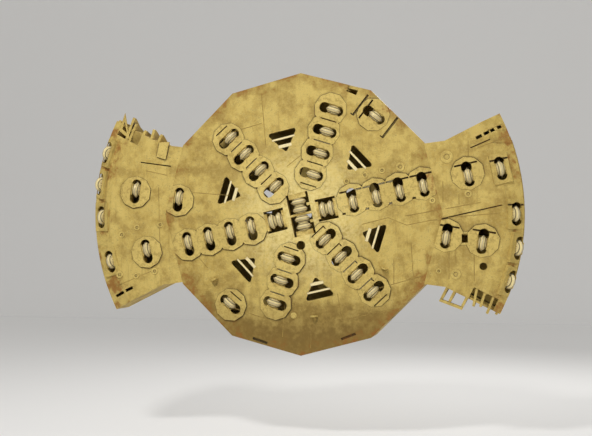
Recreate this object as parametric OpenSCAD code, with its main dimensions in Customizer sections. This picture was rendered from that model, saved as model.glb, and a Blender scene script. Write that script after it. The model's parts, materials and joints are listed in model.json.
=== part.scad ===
// Hard-rock tunnel boring cutterhead: a twelve-sided centre body with two of its six outer wings,
// disc cutters on fixed axles, and the main bearing that carries it.
// It is drawn face up, bearing at z = 0, and laid over at the end so that the face looks along -Y.

/* [Overall] */
// Height of the face plate's front above the bearing's rear face
face_z = 2300; // [2200:10:2500]
// Corner radius of the twelve-sided centre body
centre_r = 4550; // [4500:10:4620]
// Distance from the centre body's corners out to the wings' rim
wing_reach = 2500; // [2450:10:2600]
// Angle of the first row of cutters, anticlockwise from the right
head_turn = 12.5; // [11:0.5:14]
// Diameter of the inspection hole in the centre body's face
face_hole_d = 290; // [240:10:320]
// Distance of the inspection hole from the head's middle
face_hole_at = 1000; // [960:10:1040]

/* [Plates] */
// Thickness of the face plates
face_t = 60; // [50:1:70]
// Height of a raised pad at its trailing end
pad_t = 48; // [40:1:60]
// Height of a raised pad at its leading end
pad_low = 10; // [5:1:20]
// Radius of a raised pad
pad_r = 530; // [500:5:550]
// How far a pad's middle lies behind its cutter
pad_shift = 80; // [60:5:100]
// Gap left for the weld between two plates
weld_gap = 0.3; // [0.2:0.1:0.5]
// Thickness of the rear plates
back_t = 100; // [60:5:140]
// Height of the rear plates' rear above the bearing's rear face
back_z = 860; // [800:10:900]
// Thickness of the joint walls of the centre body
joint_t = 100; // [80:5:110]
// Thickness of the wings' joint walls
wing_joint_t = 80; // [60:5:90]
// Thickness of the wings' side walls
side_t = 70; // [50:5:90]
// Thickness of the ribs
rib_t = 50; // [30:5:70]
// Angle from a row of cutters to the rib beside it
rib_turn = 17; // [16:0.5:18]
// Radius of the manholes through the ribs
rib_hole_r = 380; // [300:10:400]
// Radius to the inner edge of the muck outlets in the rear plate
outlet_in = 1250; // [1200:10:1300]
// Radius to the outer edge of the muck outlets
outlet_out = 1950; // [1850:10:2000]
// Angle that a muck outlet covers
outlet_angle = 28; // [20:1:30]
// Radius of the rotary coupling's flange in the rear plate's middle
coupling_r = 330; // [280:10:360]
// Height of the rotary coupling's flange behind the rear plate
coupling_h = 60; // [40:5:80]
// Radius of the passage through the rotary coupling's flange
coupling_bore_r = 110; // [80:5:140]

/* [Main bearing] */
// Width of the fixed ring
fixed_ring_w = 450; // [420:10:500]
// Radius of the running surface between the rings
race_r = 2650; // [2600:10:2700]
// Width of the turning ring
turning_ring_w = 350; // [320:10:380]
// Height of the bearing
bearing_h = 340; // [320:5:350]
// Running clearance in the bearing
race_gap = 0.4; // [0.2:0.1:0.6]
// How far the turning ring's nose reaches into the fixed ring
nose_w = 130; // [100:5:160]
// Lowest point of the nose
nose_z = 150; // [120:5:160]
// Height of the nose
nose_h = 100; // [80:5:110]
// Distance of the bearing bolts from the fixed ring's outside
bearing_bolt_edge = 150; // [120:5:180]
// Number of bearing bolts
bearing_bolts = 48; // [24:12:48]
// Diameter of the bearing bolt holes
bearing_bolt_d = 60; // [40:1:70]
// Height of the turning ring's foot above the bearing's rear face
turning_foot = 40; // [20:5:60]

/* [Adapter drum] */
// How far the drum's inside stands back from the bearing's bore
drum_step = 30; // [20:5:60]
// Wall of the drum
drum_t = 90; // [60:5:110]
// Width of the drum's flanges outside its wall
drum_flange_w = 170; // [120:5:200]
// Thickness of the drum's flanges
drum_flange_t = 70; // [50:5:90]
// Number of gussets round the drum
drum_gussets = 24; // [12:6:36]

/* [Cutters] */
// Radius of a disc cutter over its edge
disc_r = 254; // [245:1:260]
// How far a disc's edge stands above the face plate
disc_out = 160; // [150:1:165]
// Radius of the fixed axle inside the hub
axle_r = 60; // [50:1:70]
// Running clearance between axle and hub
axle_gap = 0.3; // [0.2:0.1:0.5]
// Radius of the hub
hub_r = 150; // [140:1:160]
// Half the length of a single hub
hub_half = 125; // [115:1:130]
// Distance between the two discs of a twin cutter
twin_pitch = 250; // [240:2:256]
// Clearance between a hub's end and its saddle
hub_end_gap = 6; // [5:1:8]
// Half the distance over a single cutter's saddles
saddle_end = 200; // [190:1:205]
// Width of a saddle along the slot
saddle_w = 190; // [160:5:220]
// Depth of a saddle below the axle's centre
saddle_drop = 100; // [80:5:120]
// Length of a slot in the face
slot_l = 800; // [760:10:810]
// Width of a slot in the face
slot_w = 330; // [320:5:350]
// How far a slot's middle lies behind its cutter
slot_shift = 60; // [40:5:80]
// Depth of the grooves beside the slots
groove_d = 45; // [30:1:50]
// Width of the grooves beside the slots
groove_w = 38; // [30:1:50]
// How far the notches reach out beside a slot's trailing end
notch_l = 160; // [120:5:200]
// Wall of the cutter housings
housing_t = 30; // [20:1:35]
// Length of a housing inside its walls
housing_l = 960; // [940:5:980]
// Depth of the housings below the face plate
housing_h = 420; // [350:10:450]

/* [Centre cutters] */
// Width of the openings for the twin cutters
twin_slot_w = 720; // [700:5:740]
// Length of the openings for the left and right twin cutters
side_twin_l = 660; // [640:5:680]
// Width of the tabs between the discs in the middle opening
tab_w = 90; // [70:5:100]
// Length of the tabs between the discs in the middle opening
tab_l = 110; // [60:5:110]
// Length of the opening for the two twin cutters in the middle
stack_l = 1380; // [1340:10:1400]
// Distance of each middle twin cutter from the centre
stack_at = 280; // [275:1:285]
// Distance of the left and right twin cutters from the centre
side_twin_at = 860; // [820:10:900]
// Width of a twin cutter's saddle along the slot
twin_saddle_w = 560; // [400:10:600]

/* [Windows] */
// Radius to a window's inner corner
window_in = 2030; // [2000:10:2080]
// Radius to a window's outer edge
window_out = 2770; // [2720:10:2820]
// Width of a window at its outer edge
window_w = 900; // [800:10:960]
// Radius of a window's corners
window_corner = 70; // [50:5:90]
// Width of a window's inner bar
inner_bar_w = 100; // [80:5:120]
// Width of a window's outer bar
outer_bar_w = 60; // [40:5:80]
// Distance from a window's inner corner to its inner bar
inner_bar_at = 250; // [240:5:270]
// Distance from a window's inner corner to its outer bar
outer_bar_at = 500; // [480:5:520]
// How far a bar runs into the plate at each end
bar_seat = 20; // [10:5:30]
// How far a bar lies below the plate's front
bar_drop = 15; // [5:5:25]

/* [Wings] */
// Half the angle that a wing covers
wing_half = 26.5; // [26:0.1:27]
// Distance from the centre body's corners to the bend in a wing's edges
knee_out = 600; // [560:10:640]
// Width of the bevel along the rim
bevel_w = 600; // [560:10:640]
// How far the bevel falls at the rim
bevel_drop = 230; // [180:10:260]
// Thickness of the rim wall
rim_t = 80; // [60:5:100]
// Height of the rim wall's top below the face
rim_top_drop = 300; // [280:5:320]
// Height of a gauge box's top above the bevel
gauge_rise = 20; // [0:5:40]
// Half the radial width of a gauge box
gauge_half_w = 290; // [260:5:300]
// Length of a gauge box along the rim
gauge_l = 950; // [920:5:960]
// Length of the slot in a gauge box
gauge_slot_l = 740; // [700:10:780]
// How far the gauge boxes stand out from the rim
gauge_out = 10; // [0:5:15]
// Thickness of the finger plates
finger_t = 80; // [60:5:90]
// Where the notch in the mouth's edge starts, in from the rim
mouth_notch_in = 1090; // [1050:10:1120]
// Where the notch in the mouth's edge ends, in from the rim
mouth_notch_out = 250; // [220:10:280]
// Depth of the notch in the mouth's edge
mouth_notch_d = 400; // [340:10:440]
// Height of the mouth's sill above the rear plate
mouth_sill = 60; // [40:5:100]
// Depth of the wall left above the mouth
mouth_lintel = 270; // [200:10:320]
// Height of the lip bar that closes the first fingers
lip_h = 200; // [140:10:240]
// Diameter of the round hole in the right wing
wing_hole_d = 240; // [200:10:260]
// Radius of the manholes through the wings' ribs
wing_rib_hole_r = 300; // [240:10:340]
// Angle from a wing's middle to its ribs
wing_rib_turn = 7; // [6:0.5:8]
// Distance of the holes in the trailing band from the edge
trail_in = 380; // [340:10:420]
// Width of the holes in the trailing band
trail_w = 100; // [70:5:110]

/* [Joints between centre and wings] */
// Side of the square on which each joint's bolts lie
joint_bolt_side = 900; // [860:10:940]
// Diameter of the joint bolt holes
joint_bolt_d = 60; // [40:1:70]
// How far the joint bolts' square lies off the side's middle
joint_bolt_shift = 50; // [40:5:70]
// Width of the muck chutes through the joint walls
chute_w = 760; // [700:10:780]
// Height of the muck chutes through the joint walls
chute_h = 640; // [560:10:700]

/* [Hidden] */
$fn = 48;
rim_fn = 256;
over = 1;
sides = 12;
back_top = back_z + back_t;
face_rear = face_z - face_t;
box_h = face_rear - back_top;
joint_mid = back_top + box_h / 2;
half_side = 180 / sides;
centre_flat = centre_r * cos(half_side);
axle_z = face_z + disc_out - disc_r;
axle_below = face_rear - axle_z;
twin_half = twin_pitch / 2 + hub_half - 10;
rim_top = face_z - rim_top_drop;
window_step = 60;
window_first = 30.7;
rim_r = centre_r + wing_reach;
crease_r = rim_r - bevel_w;
wing_knee = centre_r + knee_out;
bearing_r = race_r + fixed_ring_w;
bearing_bore_r = race_r - turning_ring_w;
bearing_bolt_pcr = bearing_r - bearing_bolt_edge;
drum_r = bearing_bore_r + drum_step;
pad_slope = atan((pad_t - pad_low) / (2 * pad_r));
window_bars_at = [[inner_bar_at, inner_bar_w], [outer_bar_at, outer_bar_w]];
gusset_back = 20;
hub_step = 30;
wing_corner_in = 60;
crease_back = 20;
rim_back = 30;
finger_nose = 12;
finger_drop = 15;
frame_w = 70;
frame_t = 12;
steep = 30;

// Rows on the centre body: name, angle from the first row, radius of the first cutter,
// distance of the last one from the body's corners, number
rows = [
    ["a", 0, 1740, 515, 4],
    ["b", 60, 1330, 1045, 4],
    ["c", 120.5, 1240, 1120, 4],
    ["d", 181, 1690, 670, 4],
    ["e", 240, 1480, 1550, 3],
    ["f", 300.5, 1130, 1149, 4],
];
// Single cutters of the centre body: name, angle, distance in from the corners
singles_in = [
    ["s1", 39.7, 610],
    ["s2", 218, 810],
    ["s3", 159.8, 430],
];
// Flat cutters on the wings: name, wing, angle, distance out from the corners
wing_flat_out = [
    ["r1", 0, 0, 920],
    ["r2", 0, -21.8, 160],
    ["r3", 0, -21.6, 1300],
    ["l1", 180, 180, 770],
    ["l2", 180, 159, 1070],
];
// Cutters in raised boxes at the rim: name, wing, angle, distance in from the rim, outward tilt
gauge_in = [
    ["r4", 0, 0, 570, 12],
    ["r5", 0, -12.6, 260, 26],
    ["r6", 0, -21.4, 120, 40],
    ["r7", 0, -30.3, 125, 40],
    ["l3", 180, 181, 410, 16],
    ["l4", 180, 168.1, 270, 24],
    ["l5", 180, 159, 120, 36],
    ["l6", 180, 150.1, 140, 36],
];
function row_step(r) = (centre_r - r[3] - r[2]) / (r[4] - 1);
row_cutters = [for (r = rows) for (i = [0:r[4] - 1])
    [str(r[0], i + 1), r[1], r[2] + i * row_step(r)]];
singles = [for (c = singles_in) [c[0], c[1], centre_r - c[2]]];
wing_flat = [for (c = wing_flat_out) [c[0], c[1], c[2], centre_r + c[3]]];
gauge = [for (c = gauge_in) [c[0], c[1], c[2], rim_r - c[3], c[4]]];
centre_cutters = concat(row_cutters, singles);
// Twin cutters: name, angle of the axle, distance along it
twins = [
    ["t1", 90, stack_at],
    ["t2", 270, stack_at],
    ["t3", 181.5, side_twin_at],
    ["t4", -1, side_twin_at],
];
// Fingers on the leading edges: wing, distance in from the rim, reach past the edge, lean outwards
fingers = [
    [0, 1830, 440, 0], [0, 1570, 420, 0], [0, 1150, 360, 0],
    [0, 990, 160, 15], [0, 710, 60, 8], [0, 420, 160, 5], [0, 110, 60, 0],
    [180, 1680, 270, 0], [180, 1430, 310, 12], [180, 1120, 150, 0],
    [180, 760, 200, 3], [180, 650, 360, 6], [180, 110, 60, 0],
];
// Lip bar of the right wing in plan: distance in from the rim, distance past the edge
lip_plan = [[1870, 400], [1870, 490], [1110, 410], [1110, 320]];
// Three-cornered plate at the left wing's mouth in plan: distance in from the rim, distance past the edge
corner_plan = [[300, -240], [750, -350], [220, 370]];
// Raised block on the left wing in plan: distance in from the rim, distance past the edge
block_plan = [[1870, -450], [1750, 20], [2040, 170], [2190, -400]];
// Grooves beside the slots: row or cutter, place along the axle and along the slot, width, length
slot_grooves = [
    ["b", -355, 40, groove_w, 540],
    ["c", 355, 60, groove_w, 480],
    ["e", -330, 40, groove_w, 500],
    ["f", -345, 20, groove_w, 550],
    ["f", -300, 275, 130, groove_w],
    ["f4", 360, 20, groove_w, 550],
    ["s2", -330, 40, groove_w, 480],
    ["a", -360, -300, 110, 60],
    ["s1", 0, 600, 800, 2 * groove_w],
    ["s1", -400, 640, groove_w, 130],
    ["s1", 0, -600, 800, 2 * groove_w],
    ["s1", -400, -560, groove_w, 130],
];
// Marks along the centre body's edge: angle, radius, radial width, length
edge_marks = [[291.6, 4200, 80, 500], [251.8, 4300, 80, 500]];
// Notch in the centre body's edge: angle, distance in from the corners' radius, length
edge_notch = [67, 350, 350];
// Grooves on the wings' faces: wing, place in plan, direction, length
wing_grooves = [
    [0, 4440, -175, 12.75, 2000],
    [0, 5409, 2060, 23, 660],
    [180, -4350, 1590, 172, 1060],
];
// Holes through the wings' trailing band: wing, distance in from the rim, length
trail_slots = [
    [0, 900, 200], [0, 640, 180], [0, 440, 130], [0, 210, 130],
    [180, 775, 270], [180, 380, 340],
];
// Holes in the right wing's face: place of the round one, place and size of the square one
wing_hole_at = [5800, -1650];
wing_port = [5230, -770, 190, 280];

paint = [0.75, 0.63, 0.35];
steel = [0.45, 0.42, 0.38];

function bevel_fall(r) = r <= crease_r ? 0 : (r - crease_r) * bevel_drop / (rim_r - crease_r);

module laid_over() {
    rotate([90, 0, 0]) children();
}

// Puts children at a cutter: x along its axle, z out of the face.
module at_cutter(angle, radius, tilt = 0, rise = 0) {
    rotate([0, 0, head_turn + angle]) translate([radius, 0, axle_z - bevel_fall(radius) + rise])
        rotate([0, tilt, 0]) children();
}

module each_flat() {
    for (c = centre_cutters) at_cutter(c[1], c[2]) children();
}

module each_wing_flat(wing) {
    for (c = wing_flat) if (c[1] == wing) at_cutter(c[2], c[3]) children();
}

module at_gauge(c) {
    at_cutter(c[2], c[3], c[4], gauge_rise) children();
}

module each_gauge(wing) {
    for (c = gauge) if (c[1] == wing) at_gauge(c) children();
}

module dodecagon(radius, height) {
    linear_extrude(height) circle(radius, $fn = sides);
}

module ring(outer, inner, height) {
    difference() {
        cylinder(r = outer, h = height);
        translate([0, 0, -over]) cylinder(r = inner, h = height + 2 * over);
    }
}

// Main bearing

module bolt_ring(height) {
    for (i = [0:bearing_bolts - 1])
        rotate([0, 0, (i + 0.5) * 360 / bearing_bolts]) translate([bearing_bolt_pcr, 0, -over])
            cylinder(d = bearing_bolt_d, h = height + 2 * over);
}

module bearing_ring() {
    split = nose_z + nose_h + race_gap;
    laid_over() color(steel) difference() {
        rotate_extrude() polygon([
            [race_r + race_gap, 0], [bearing_r, 0], [bearing_r, split],
            [race_r + nose_w + race_gap, split], [race_r + nose_w + race_gap, nose_z - race_gap],
            [race_r + race_gap, nose_z - race_gap],
        ]);
        bolt_ring(split);
    }
}

module bearing_cap() {
    split = nose_z + nose_h + race_gap;
    laid_over() color(steel) translate([0, 0, split]) difference() {
        ring(bearing_r, race_r + race_gap, bearing_h - split);
        bolt_ring(bearing_h - split);
    }
}

module turning_ring() {
    top = bearing_h + 20;
    laid_over() color(steel) rotate_extrude() polygon([
        [bearing_bore_r, turning_foot], [race_r, turning_foot], [race_r, nose_z],
        [race_r + nose_w, nose_z], [race_r + nose_w, nose_z + nose_h], [race_r, nose_z + nose_h],
        [race_r, top], [bearing_bore_r, top],
    ]);
}

// Adapter drum between the bearing and the rear plate

module drum() {
    foot = bearing_h + 20;
    height = back_z - foot;
    outer = drum_r + drum_t;
    laid_over() color(paint) translate([0, 0, foot]) {
        ring(outer, drum_r, height);
        ring(outer + drum_flange_w, outer - over, drum_flange_t);
        translate([0, 0, height - drum_flange_t])
            ring(outer + drum_flange_w, outer - over, drum_flange_t);
        for (i = [0:drum_gussets - 1])
            rotate([0, 0, i * 360 / drum_gussets])
                translate([outer - over, -rib_t / 2, drum_flange_t - over])
                    cube([drum_flange_w - gusset_back, rib_t, height - 2 * drum_flange_t + 2 * over]);
    }
}

// Centre body

module at_facets(first = 0, last = sides - 1) {
    for (i = [first:last]) rotate([0, 0, (i + 0.5) * 360 / sides]) children();
}

module chute(depth) {
    translate([centre_flat, 0, joint_mid]) cube([2 * depth, chute_w, chute_h], center = true);
}

module joint_holes() {
    for (y = [-1, 1], z = [-1, 1])
        translate([centre_flat - 2 * joint_t, joint_bolt_shift + y * joint_bolt_side / 2,
                   joint_mid + z * joint_bolt_side / 2])
            rotate([0, 90, 0]) cylinder(d = joint_bolt_d, h = 3 * joint_t);
}

// A passage for muck through the rear plate, on the x axis
module outlet() {
    translate([0, 0, back_z - over]) intersection() {
        ring(outlet_out, outlet_in, back_t + 2 * over);
        linear_extrude(back_t + 2 * over)
            polygon([[0, 0], for (y = [-1, 1]) 2 * outlet_out * [cos(outlet_angle / 2), y * sin(outlet_angle / 2)]]);
    }
}

module centre_back() {
    laid_over() color(paint) difference() {
        union() {
            translate([0, 0, back_z]) dodecagon(centre_r, back_t);
            translate([0, 0, back_z - coupling_h]) cylinder(r = coupling_r, h = coupling_h + over);
        }
        for (a = [0, 120, 240]) rotate([0, 0, head_turn + window_first + a]) outlet();
        translate([0, 0, back_z - coupling_h - over]) cylinder(r = coupling_bore_r, h = 2 * back_t + coupling_h);
    }
}

module centre_rib() {
    difference() {
        translate([drum_r + drum_t, -rib_t / 2, back_top]) cube([centre_r - drum_r - drum_t, rib_t, box_h]);
        translate([(drum_r + drum_t + centre_flat) / 2, 0, joint_mid])
            rotate([90, 0, 0]) cylinder(r = rib_hole_r, h = 2 * rib_t, center = true);
    }
}

module centre_walls() {
    laid_over() color(paint) {
        difference() {
            translate([0, 0, back_top]) dodecagon(centre_r, box_h);
            translate([0, 0, back_top - over])
                dodecagon(centre_r - joint_t / cos(half_side), box_h + 2 * over);
            at_facets() chute(2 * joint_t);
            at_facets(1, 4) joint_holes();
            at_facets(7, 10) joint_holes();
            each_flat() housing_space();
        }
        intersection() {
            for (i = [0:5]) rotate([0, 0, head_turn + rib_turn + 60 * i]) centre_rib();
            translate([0, 0, back_top]) dodecagon(centre_r - joint_t / 2, box_h);
        }
    }
}

module slot_cut(length = slot_l, shift = slot_shift) {
    straight = length - slot_w;
    translate([0, shift, axle_below - face_t]) linear_extrude(4 * face_t) {
        square([slot_w, straight], center = true);
        for (y = [-1, 1]) translate([0, y * straight / 2]) circle(d = slot_w);
    }
}

// A blind groove in the front of a plate
module groove(x, y, width, length) {
    translate([x - width / 2, y - length / 2, axle_below + face_t - groove_d])
        cube([width, length, groove_d + 2 * pad_t]);
}

// The two arms beside a slot's trailing end
module notches(length = slot_l, shift = slot_shift) {
    y = shift + (length - slot_w) / 2 + slot_w / 4;
    for (x = [-1, 1]) groove(x * (slot_w + notch_l) / 2, y, notch_l + slot_w / 4, 1.5 * groove_w);
}

// A raised pad whose height grows towards its trailing end
module pad() {
    translate([0, pad_shift, axle_below + face_t]) difference() {
        translate([0, 0, -over]) linear_extrude(pad_t + over) rotate(18) circle(pad_r, $fn = 10);
        translate([-2 * pad_r, -pad_r, pad_low]) rotate([pad_slope, 0, 0])
            cube([4 * pad_r, 3 * pad_r, pad_t]);
    }
}

function unit(v) = v / norm(v);
function across(a, b) = let (d = unit(b - a)) [d[1], -d[0]];

// Outline of a window: a triangle with its point to the centre and round corners
module window_outline() {
    c = window_corner;
    p = [
        [window_in + 2 * c, 0],
        [window_out - c, window_w / 2 - c],
        [window_out - c, c - window_w / 2],
    ];
    order = [[0, 2], [2, 1], [1, 0]];
    polygon([for (e = order) for (q = e) p[q] + c * across(p[e[0]], p[e[1]])]);
    for (q = p) translate(q) circle(c);
}

module at_windows() {
    for (i = [0:5]) rotate([0, 0, head_turn + window_first + window_step * i]) children();
}

// A window's bars, or the space that they take in the plate at its edges
module window_bars(space = 0) {
    c = window_corner;
    slope = (window_w / 2 - c) / (window_out - window_in - 3 * c);
    for (b = window_bars_at) {
        half = (b[0] + b[1] / 2 - 2 * c) * slope + c * norm([1, slope]) + bar_seat + space;
        translate([window_in + b[0] - b[1] / 2 - space, -half, face_rear - over * sign(space)])
            cube([b[1] + 2 * space, 2 * half, face_t - (space > 0 ? -2 * pad_t : bar_drop)]);
    }
}

// The seams between the sections of the centre body's face: from the middle through the windows, along the
// windows' outer edges, and from there out along the rows
module face_seams() {
    seam_h = face_t + 3 * pad_t;
    at_windows() {
        translate([0, -weld_gap / 2, face_rear - over]) cube([centre_r, weld_gap, seam_h]);
        half = window_out * tan(window_step / 2) + weld_gap;
        translate([window_out - weld_gap, -half, face_rear - over]) cube([weld_gap, 2 * half, seam_h]);
        rotate(window_step / 2) translate([window_out / cos(window_step / 2), -weld_gap / 2, face_rear - over])
            cube([centre_r, weld_gap, seam_h]);
    }
}

module twin_opening(length) {
    cube([length, twin_slot_w, 6 * face_t], center = true);
}

// Cuts in the centre body's face beside its slots and at its edge
module centre_marks() {
    for (c = centre_cutters) for (g = slot_grooves) if (g[0] == c[0] || g[0] == c[0][0])
        at_cutter(c[1], c[2]) groove(g[1], g[2], g[3], g[4]);
    for (c = centre_cutters) if (c[0] == "s1" || c[0][0] == "a") at_cutter(c[1], c[2]) notches();
    for (m = edge_marks)
        rotate([0, 0, m[0]]) translate([m[1] - m[2] / 2, -m[3] / 2, face_z - groove_d])
            cube([m[2], m[3], face_t]);
    rotate([0, 0, edge_notch[0]]) translate([centre_r - edge_notch[1], -edge_notch[2] / 2, face_rear - over])
        cube([2 * edge_notch[1], edge_notch[2], 2 * face_t]);
    translate([0, -face_hole_at, face_rear - over]) cylinder(d = face_hole_d, h = 3 * face_t);
}

module centre_face() {
    laid_over() color(paint) {
        difference() {
            union() {
                translate([0, 0, face_rear]) dodecagon(centre_r, face_t);
                intersection() {
                    each_flat() pad();
                    translate([0, 0, face_rear]) dodecagon(centre_r, face_t + 2 * pad_t);
                }
            }
            each_flat() slot_cut();
            centre_marks();
            at_windows() translate([0, 0, face_rear - over])
                linear_extrude(face_t + 3 * pad_t) window_outline();
            for (c = twins) if (c[2] == side_twin_at) at_cutter(c[1], c[2]) twin_opening(side_twin_l);
            at_cutter(90, 0) twin_opening(stack_l);
            at_windows() window_bars(weld_gap);
            face_seams();
        }
        at_windows() window_bars();
        for (x = [-stack_at, stack_at])
            at_cutter(90, 0) translate([x - tab_w / 2, -twin_slot_w / 2 - over, axle_below])
                cube([tab_w, tab_l + over, face_t]);
    }
}

// The outer form of a single cutter's housing, without its front plate
module housing_block() {
    w = saddle_end + housing_t;
    l = housing_l / 2 + housing_t;
    translate([-w, -l, axle_below - housing_h]) cube([2 * w, 2 * l, housing_h - weld_gap]);
}

// The space that a housing takes in the plates it passes through
module housing_space() {
    w = saddle_end + housing_t + weld_gap;
    l = housing_l / 2 + housing_t + weld_gap;
    translate([-w, -l, axle_below - housing_h - weld_gap]) cube([2 * w, 2 * l, housing_h + 2 * weld_gap]);
}

module housing() {
    difference() {
        housing_block();
        translate([-saddle_end, -housing_l / 2, axle_below - housing_h - over])
            cube([2 * saddle_end, housing_l, housing_h + 2 * over]);
    }
}

module twin_housing(length) {
    w = length / 2 + housing_t;
    l = twin_slot_w / 2 + housing_t;
    difference() {
        translate([-w, -l, axle_below - housing_h]) cube([2 * w, 2 * l, housing_h - weld_gap]);
        translate([-length / 2, -twin_slot_w / 2, axle_below - housing_h - over])
            cube([length, twin_slot_w, housing_h + 2 * over]);
    }
}

module centre_housings() {
    laid_over() color(paint) {
        each_flat() housing();
        for (c = twins) if (c[2] == side_twin_at) at_cutter(c[1], c[2]) twin_housing(side_twin_l);
        at_cutter(90, 0) twin_housing(stack_l);
    }
}

// Disc cutters, each turning on a fixed axle

module along_axle() {
    rotate([0, 90, 0]) children();
}

// Half section of a hub, radius against place along the axle
module hub_section(half) {
    bore = axle_r + axle_gap;
    neck = hub_r - hub_step;
    polygon([
        [bore, -half], [neck, -half], [neck, hub_step / 2 - half], [hub_r, hub_step / 2 - half],
        [hub_r, half - hub_step / 2], [neck, half - hub_step / 2], [neck, half], [bore, half],
    ]);
}

// One side of a disc ring from its hub to its edge: distance in from the edge, half width
disc_side = [[84, 105], [64, 83], [54, 62], [40, 40], [14, 16], [0, 9]];

// Half section of a disc ring on its barrel
module disc_section() {
    n = len(disc_side) - 1;
    polygon(concat(
        [[hub_r - over, -disc_side[0][1]]],
        [for (p = disc_side) [disc_r - p[0], -p[1]]],
        [for (i = [n:-1:0]) [disc_r - disc_side[i][0], disc_side[i][1]]],
        [[hub_r - over, disc_side[0][1]]]));
}

module single_cutter() {
    along_axle() rotate_extrude() {
        hub_section(hub_half);
        disc_section();
    }
}

module twin_cutter() {
    along_axle() rotate_extrude() {
        hub_section(twin_half);
        for (y = [-1, 1]) translate([0, y * twin_pitch / 2]) disc_section();
    }
}

module cutter(c) {
    laid_over() color(steel) at_cutter(c[1], c[2]) single_cutter();
}

module wing_cutter(c) {
    laid_over() color(steel) at_cutter(c[2], c[3]) single_cutter();
}

module gauge_cutter(c) {
    laid_over() color(steel) at_gauge(c) single_cutter();
}

module twin(c) {
    laid_over() color(steel) at_cutter(c[1], c[2]) twin_cutter();
}

// A fixed axle with the saddle block that holds it at each end
module axle() {
    inner = hub_half + hub_end_gap;
    along_axle() cylinder(r = axle_r, h = 2 * inner + 2 * over, center = true);
    for (x = [-1, 1])
        translate([x * (inner + saddle_end) / 2, 0, (axle_below - saddle_drop) / 2])
            cube([saddle_end - inner, saddle_w, axle_below + saddle_drop - 2 * weld_gap], center = true);
}

module twin_saddle(from, to) {
    translate([from, -twin_saddle_w / 2, -saddle_drop])
        cube([to - from, twin_saddle_w, saddle_drop + axle_below + face_t]);
}

module side_twin_axle() {
    inner = twin_half + hub_end_gap;
    along_axle() cylinder(r = axle_r, h = 2 * inner + 2 * over, center = true);
    twin_saddle(inner, side_twin_l / 2);
    mirror([1, 0, 0]) twin_saddle(inner, side_twin_l / 2);
}

module stack_axle() {
    inner = stack_at + twin_half + hub_end_gap;
    middle = stack_at - twin_half - hub_end_gap;
    along_axle() cylinder(r = axle_r, h = 2 * inner + 2 * over, center = true);
    twin_saddle(inner, stack_l / 2);
    mirror([1, 0, 0]) twin_saddle(inner, stack_l / 2);
    translate([-middle, -twin_slot_w / 2, -saddle_drop])
        cube([2 * middle, twin_slot_w, saddle_drop + axle_below + face_t]);
}

module centre_axles() {
    laid_over() color(steel) {
        each_flat() axle();
        for (c = twins) if (c[2] == side_twin_at) at_cutter(c[1], c[2]) side_twin_axle();
        at_cutter(90, 0) stack_axle();
    }
}

module wing_axles() {
    laid_over() color(steel) for (wing = [0, 180]) {
        each_wing_flat(wing) axle();
        each_gauge(wing) axle();
    }
}

// Wings

// Plan of a wing, moved inwards from its edges by a wall
module wing_plan(inset = 0) {
    far = 2 * rim_r;
    a = wing_half - asin(inset / wing_knee);
    corner = [centre_r * cos(2 * half_side), centre_r * sin(2 * half_side) - wing_corner_in - inset];
    bend = wing_knee * [cos(a), sin(a)];
    end = bend + far * [cos(wing_half), sin(wing_half)];
    flip = [[1, 0], [0, -1]];
    polygon([[0, 0], corner, bend, end, end * flip, bend * flip, corner * flip]);
}

module on_wing(wing) {
    rotate([0, 0, wing]) children();
}

// Inside of a wing between its plates, as a full turn
module wing_inside() {
    rotate_extrude($fn = rim_fn) polygon([
        [centre_flat / 2, back_top], [rim_r - rim_t, back_top], [rim_r - rim_t, rim_top],
        [rim_r - rim_t - rim_back, rim_top], [crease_r - crease_back, face_rear],
        [centre_flat / 2, face_rear],
    ]);
}

// Puts children on a wing's leading edge: x along it from the head's axis, y into the wing
module at_lead(wing) {
    on_wing(wing) rotate([0, 0, -wing_half]) children();
}

function lead_points(plan) = [for (p = plan) [rim_r - p[0], -p[1]]];
function corner_hole() = let (p = lead_points(corner_plan), m = (p[0] + p[1] + p[2]) / 3)
    [for (q = p) m + 0.45 * (q - m)];

// Cuts in a wing's face for the mouth, the trailing band and the grooves
module wing_marks(wing) {
    at_lead(wing) translate([rim_r - mouth_notch_in, -over, back_z])
        cube([mouth_notch_in - mouth_notch_out, mouth_notch_d + over, face_z]);
    for (t = trail_slots) if (t[0] == wing)
        on_wing(wing) rotate([0, 0, wing_half])
            translate([rim_r - t[1] - t[2] / 2, -trail_in - trail_w / 2, rim_top])
                cube([t[2], trail_w, face_z]);
    for (g = wing_grooves) if (g[0] == wing)
        translate([g[1], g[2], face_z - groove_d]) rotate([0, 0, g[3]])
            translate([0, -groove_w / 2, 0]) cube([g[4], groove_w, face_t + pad_t]);
}

module wing_face(wing) {
    difference() {
        union() {
            intersection() {
                rotate_extrude($fn = rim_fn) polygon([
                    [centre_flat / 2, face_rear], [crease_r - crease_back, face_rear],
                    [rim_r - rim_t - rim_back, rim_top], [rim_r, rim_top], [rim_r, face_z - bevel_drop],
                    [crease_r, face_z], [centre_flat / 2, face_z],
                ]);
                on_wing(wing) translate([0, 0, back_z]) linear_extrude(face_z) wing_plan();
            }
            intersection() {
                each_wing_flat(wing) pad();
                on_wing(wing) translate([0, 0, back_z]) linear_extrude(face_z) wing_plan();
            }
            if (wing == 0) port_plate(frame_w, face_z + frame_t);
            else at_lead(wing) translate([0, 0, face_rear])
                linear_extrude(face_t + pad_t) polygon(lead_points(block_plan));
        }
        translate([0, 0, back_z]) dodecagon(centre_r, face_z);
        each_wing_flat(wing) slot_cut();
        if (wing == 0) {
            each_wing_flat(wing) notches();
            port_plate(0, face_z + 2 * pad_t);
            translate([wing_hole_at[0], wing_hole_at[1], face_rear - over])
                cylinder(d = wing_hole_d, h = 3 * face_t);
        }
        each_gauge(wing) gauge_space();
        wing_marks(wing);
    }
}

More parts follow.
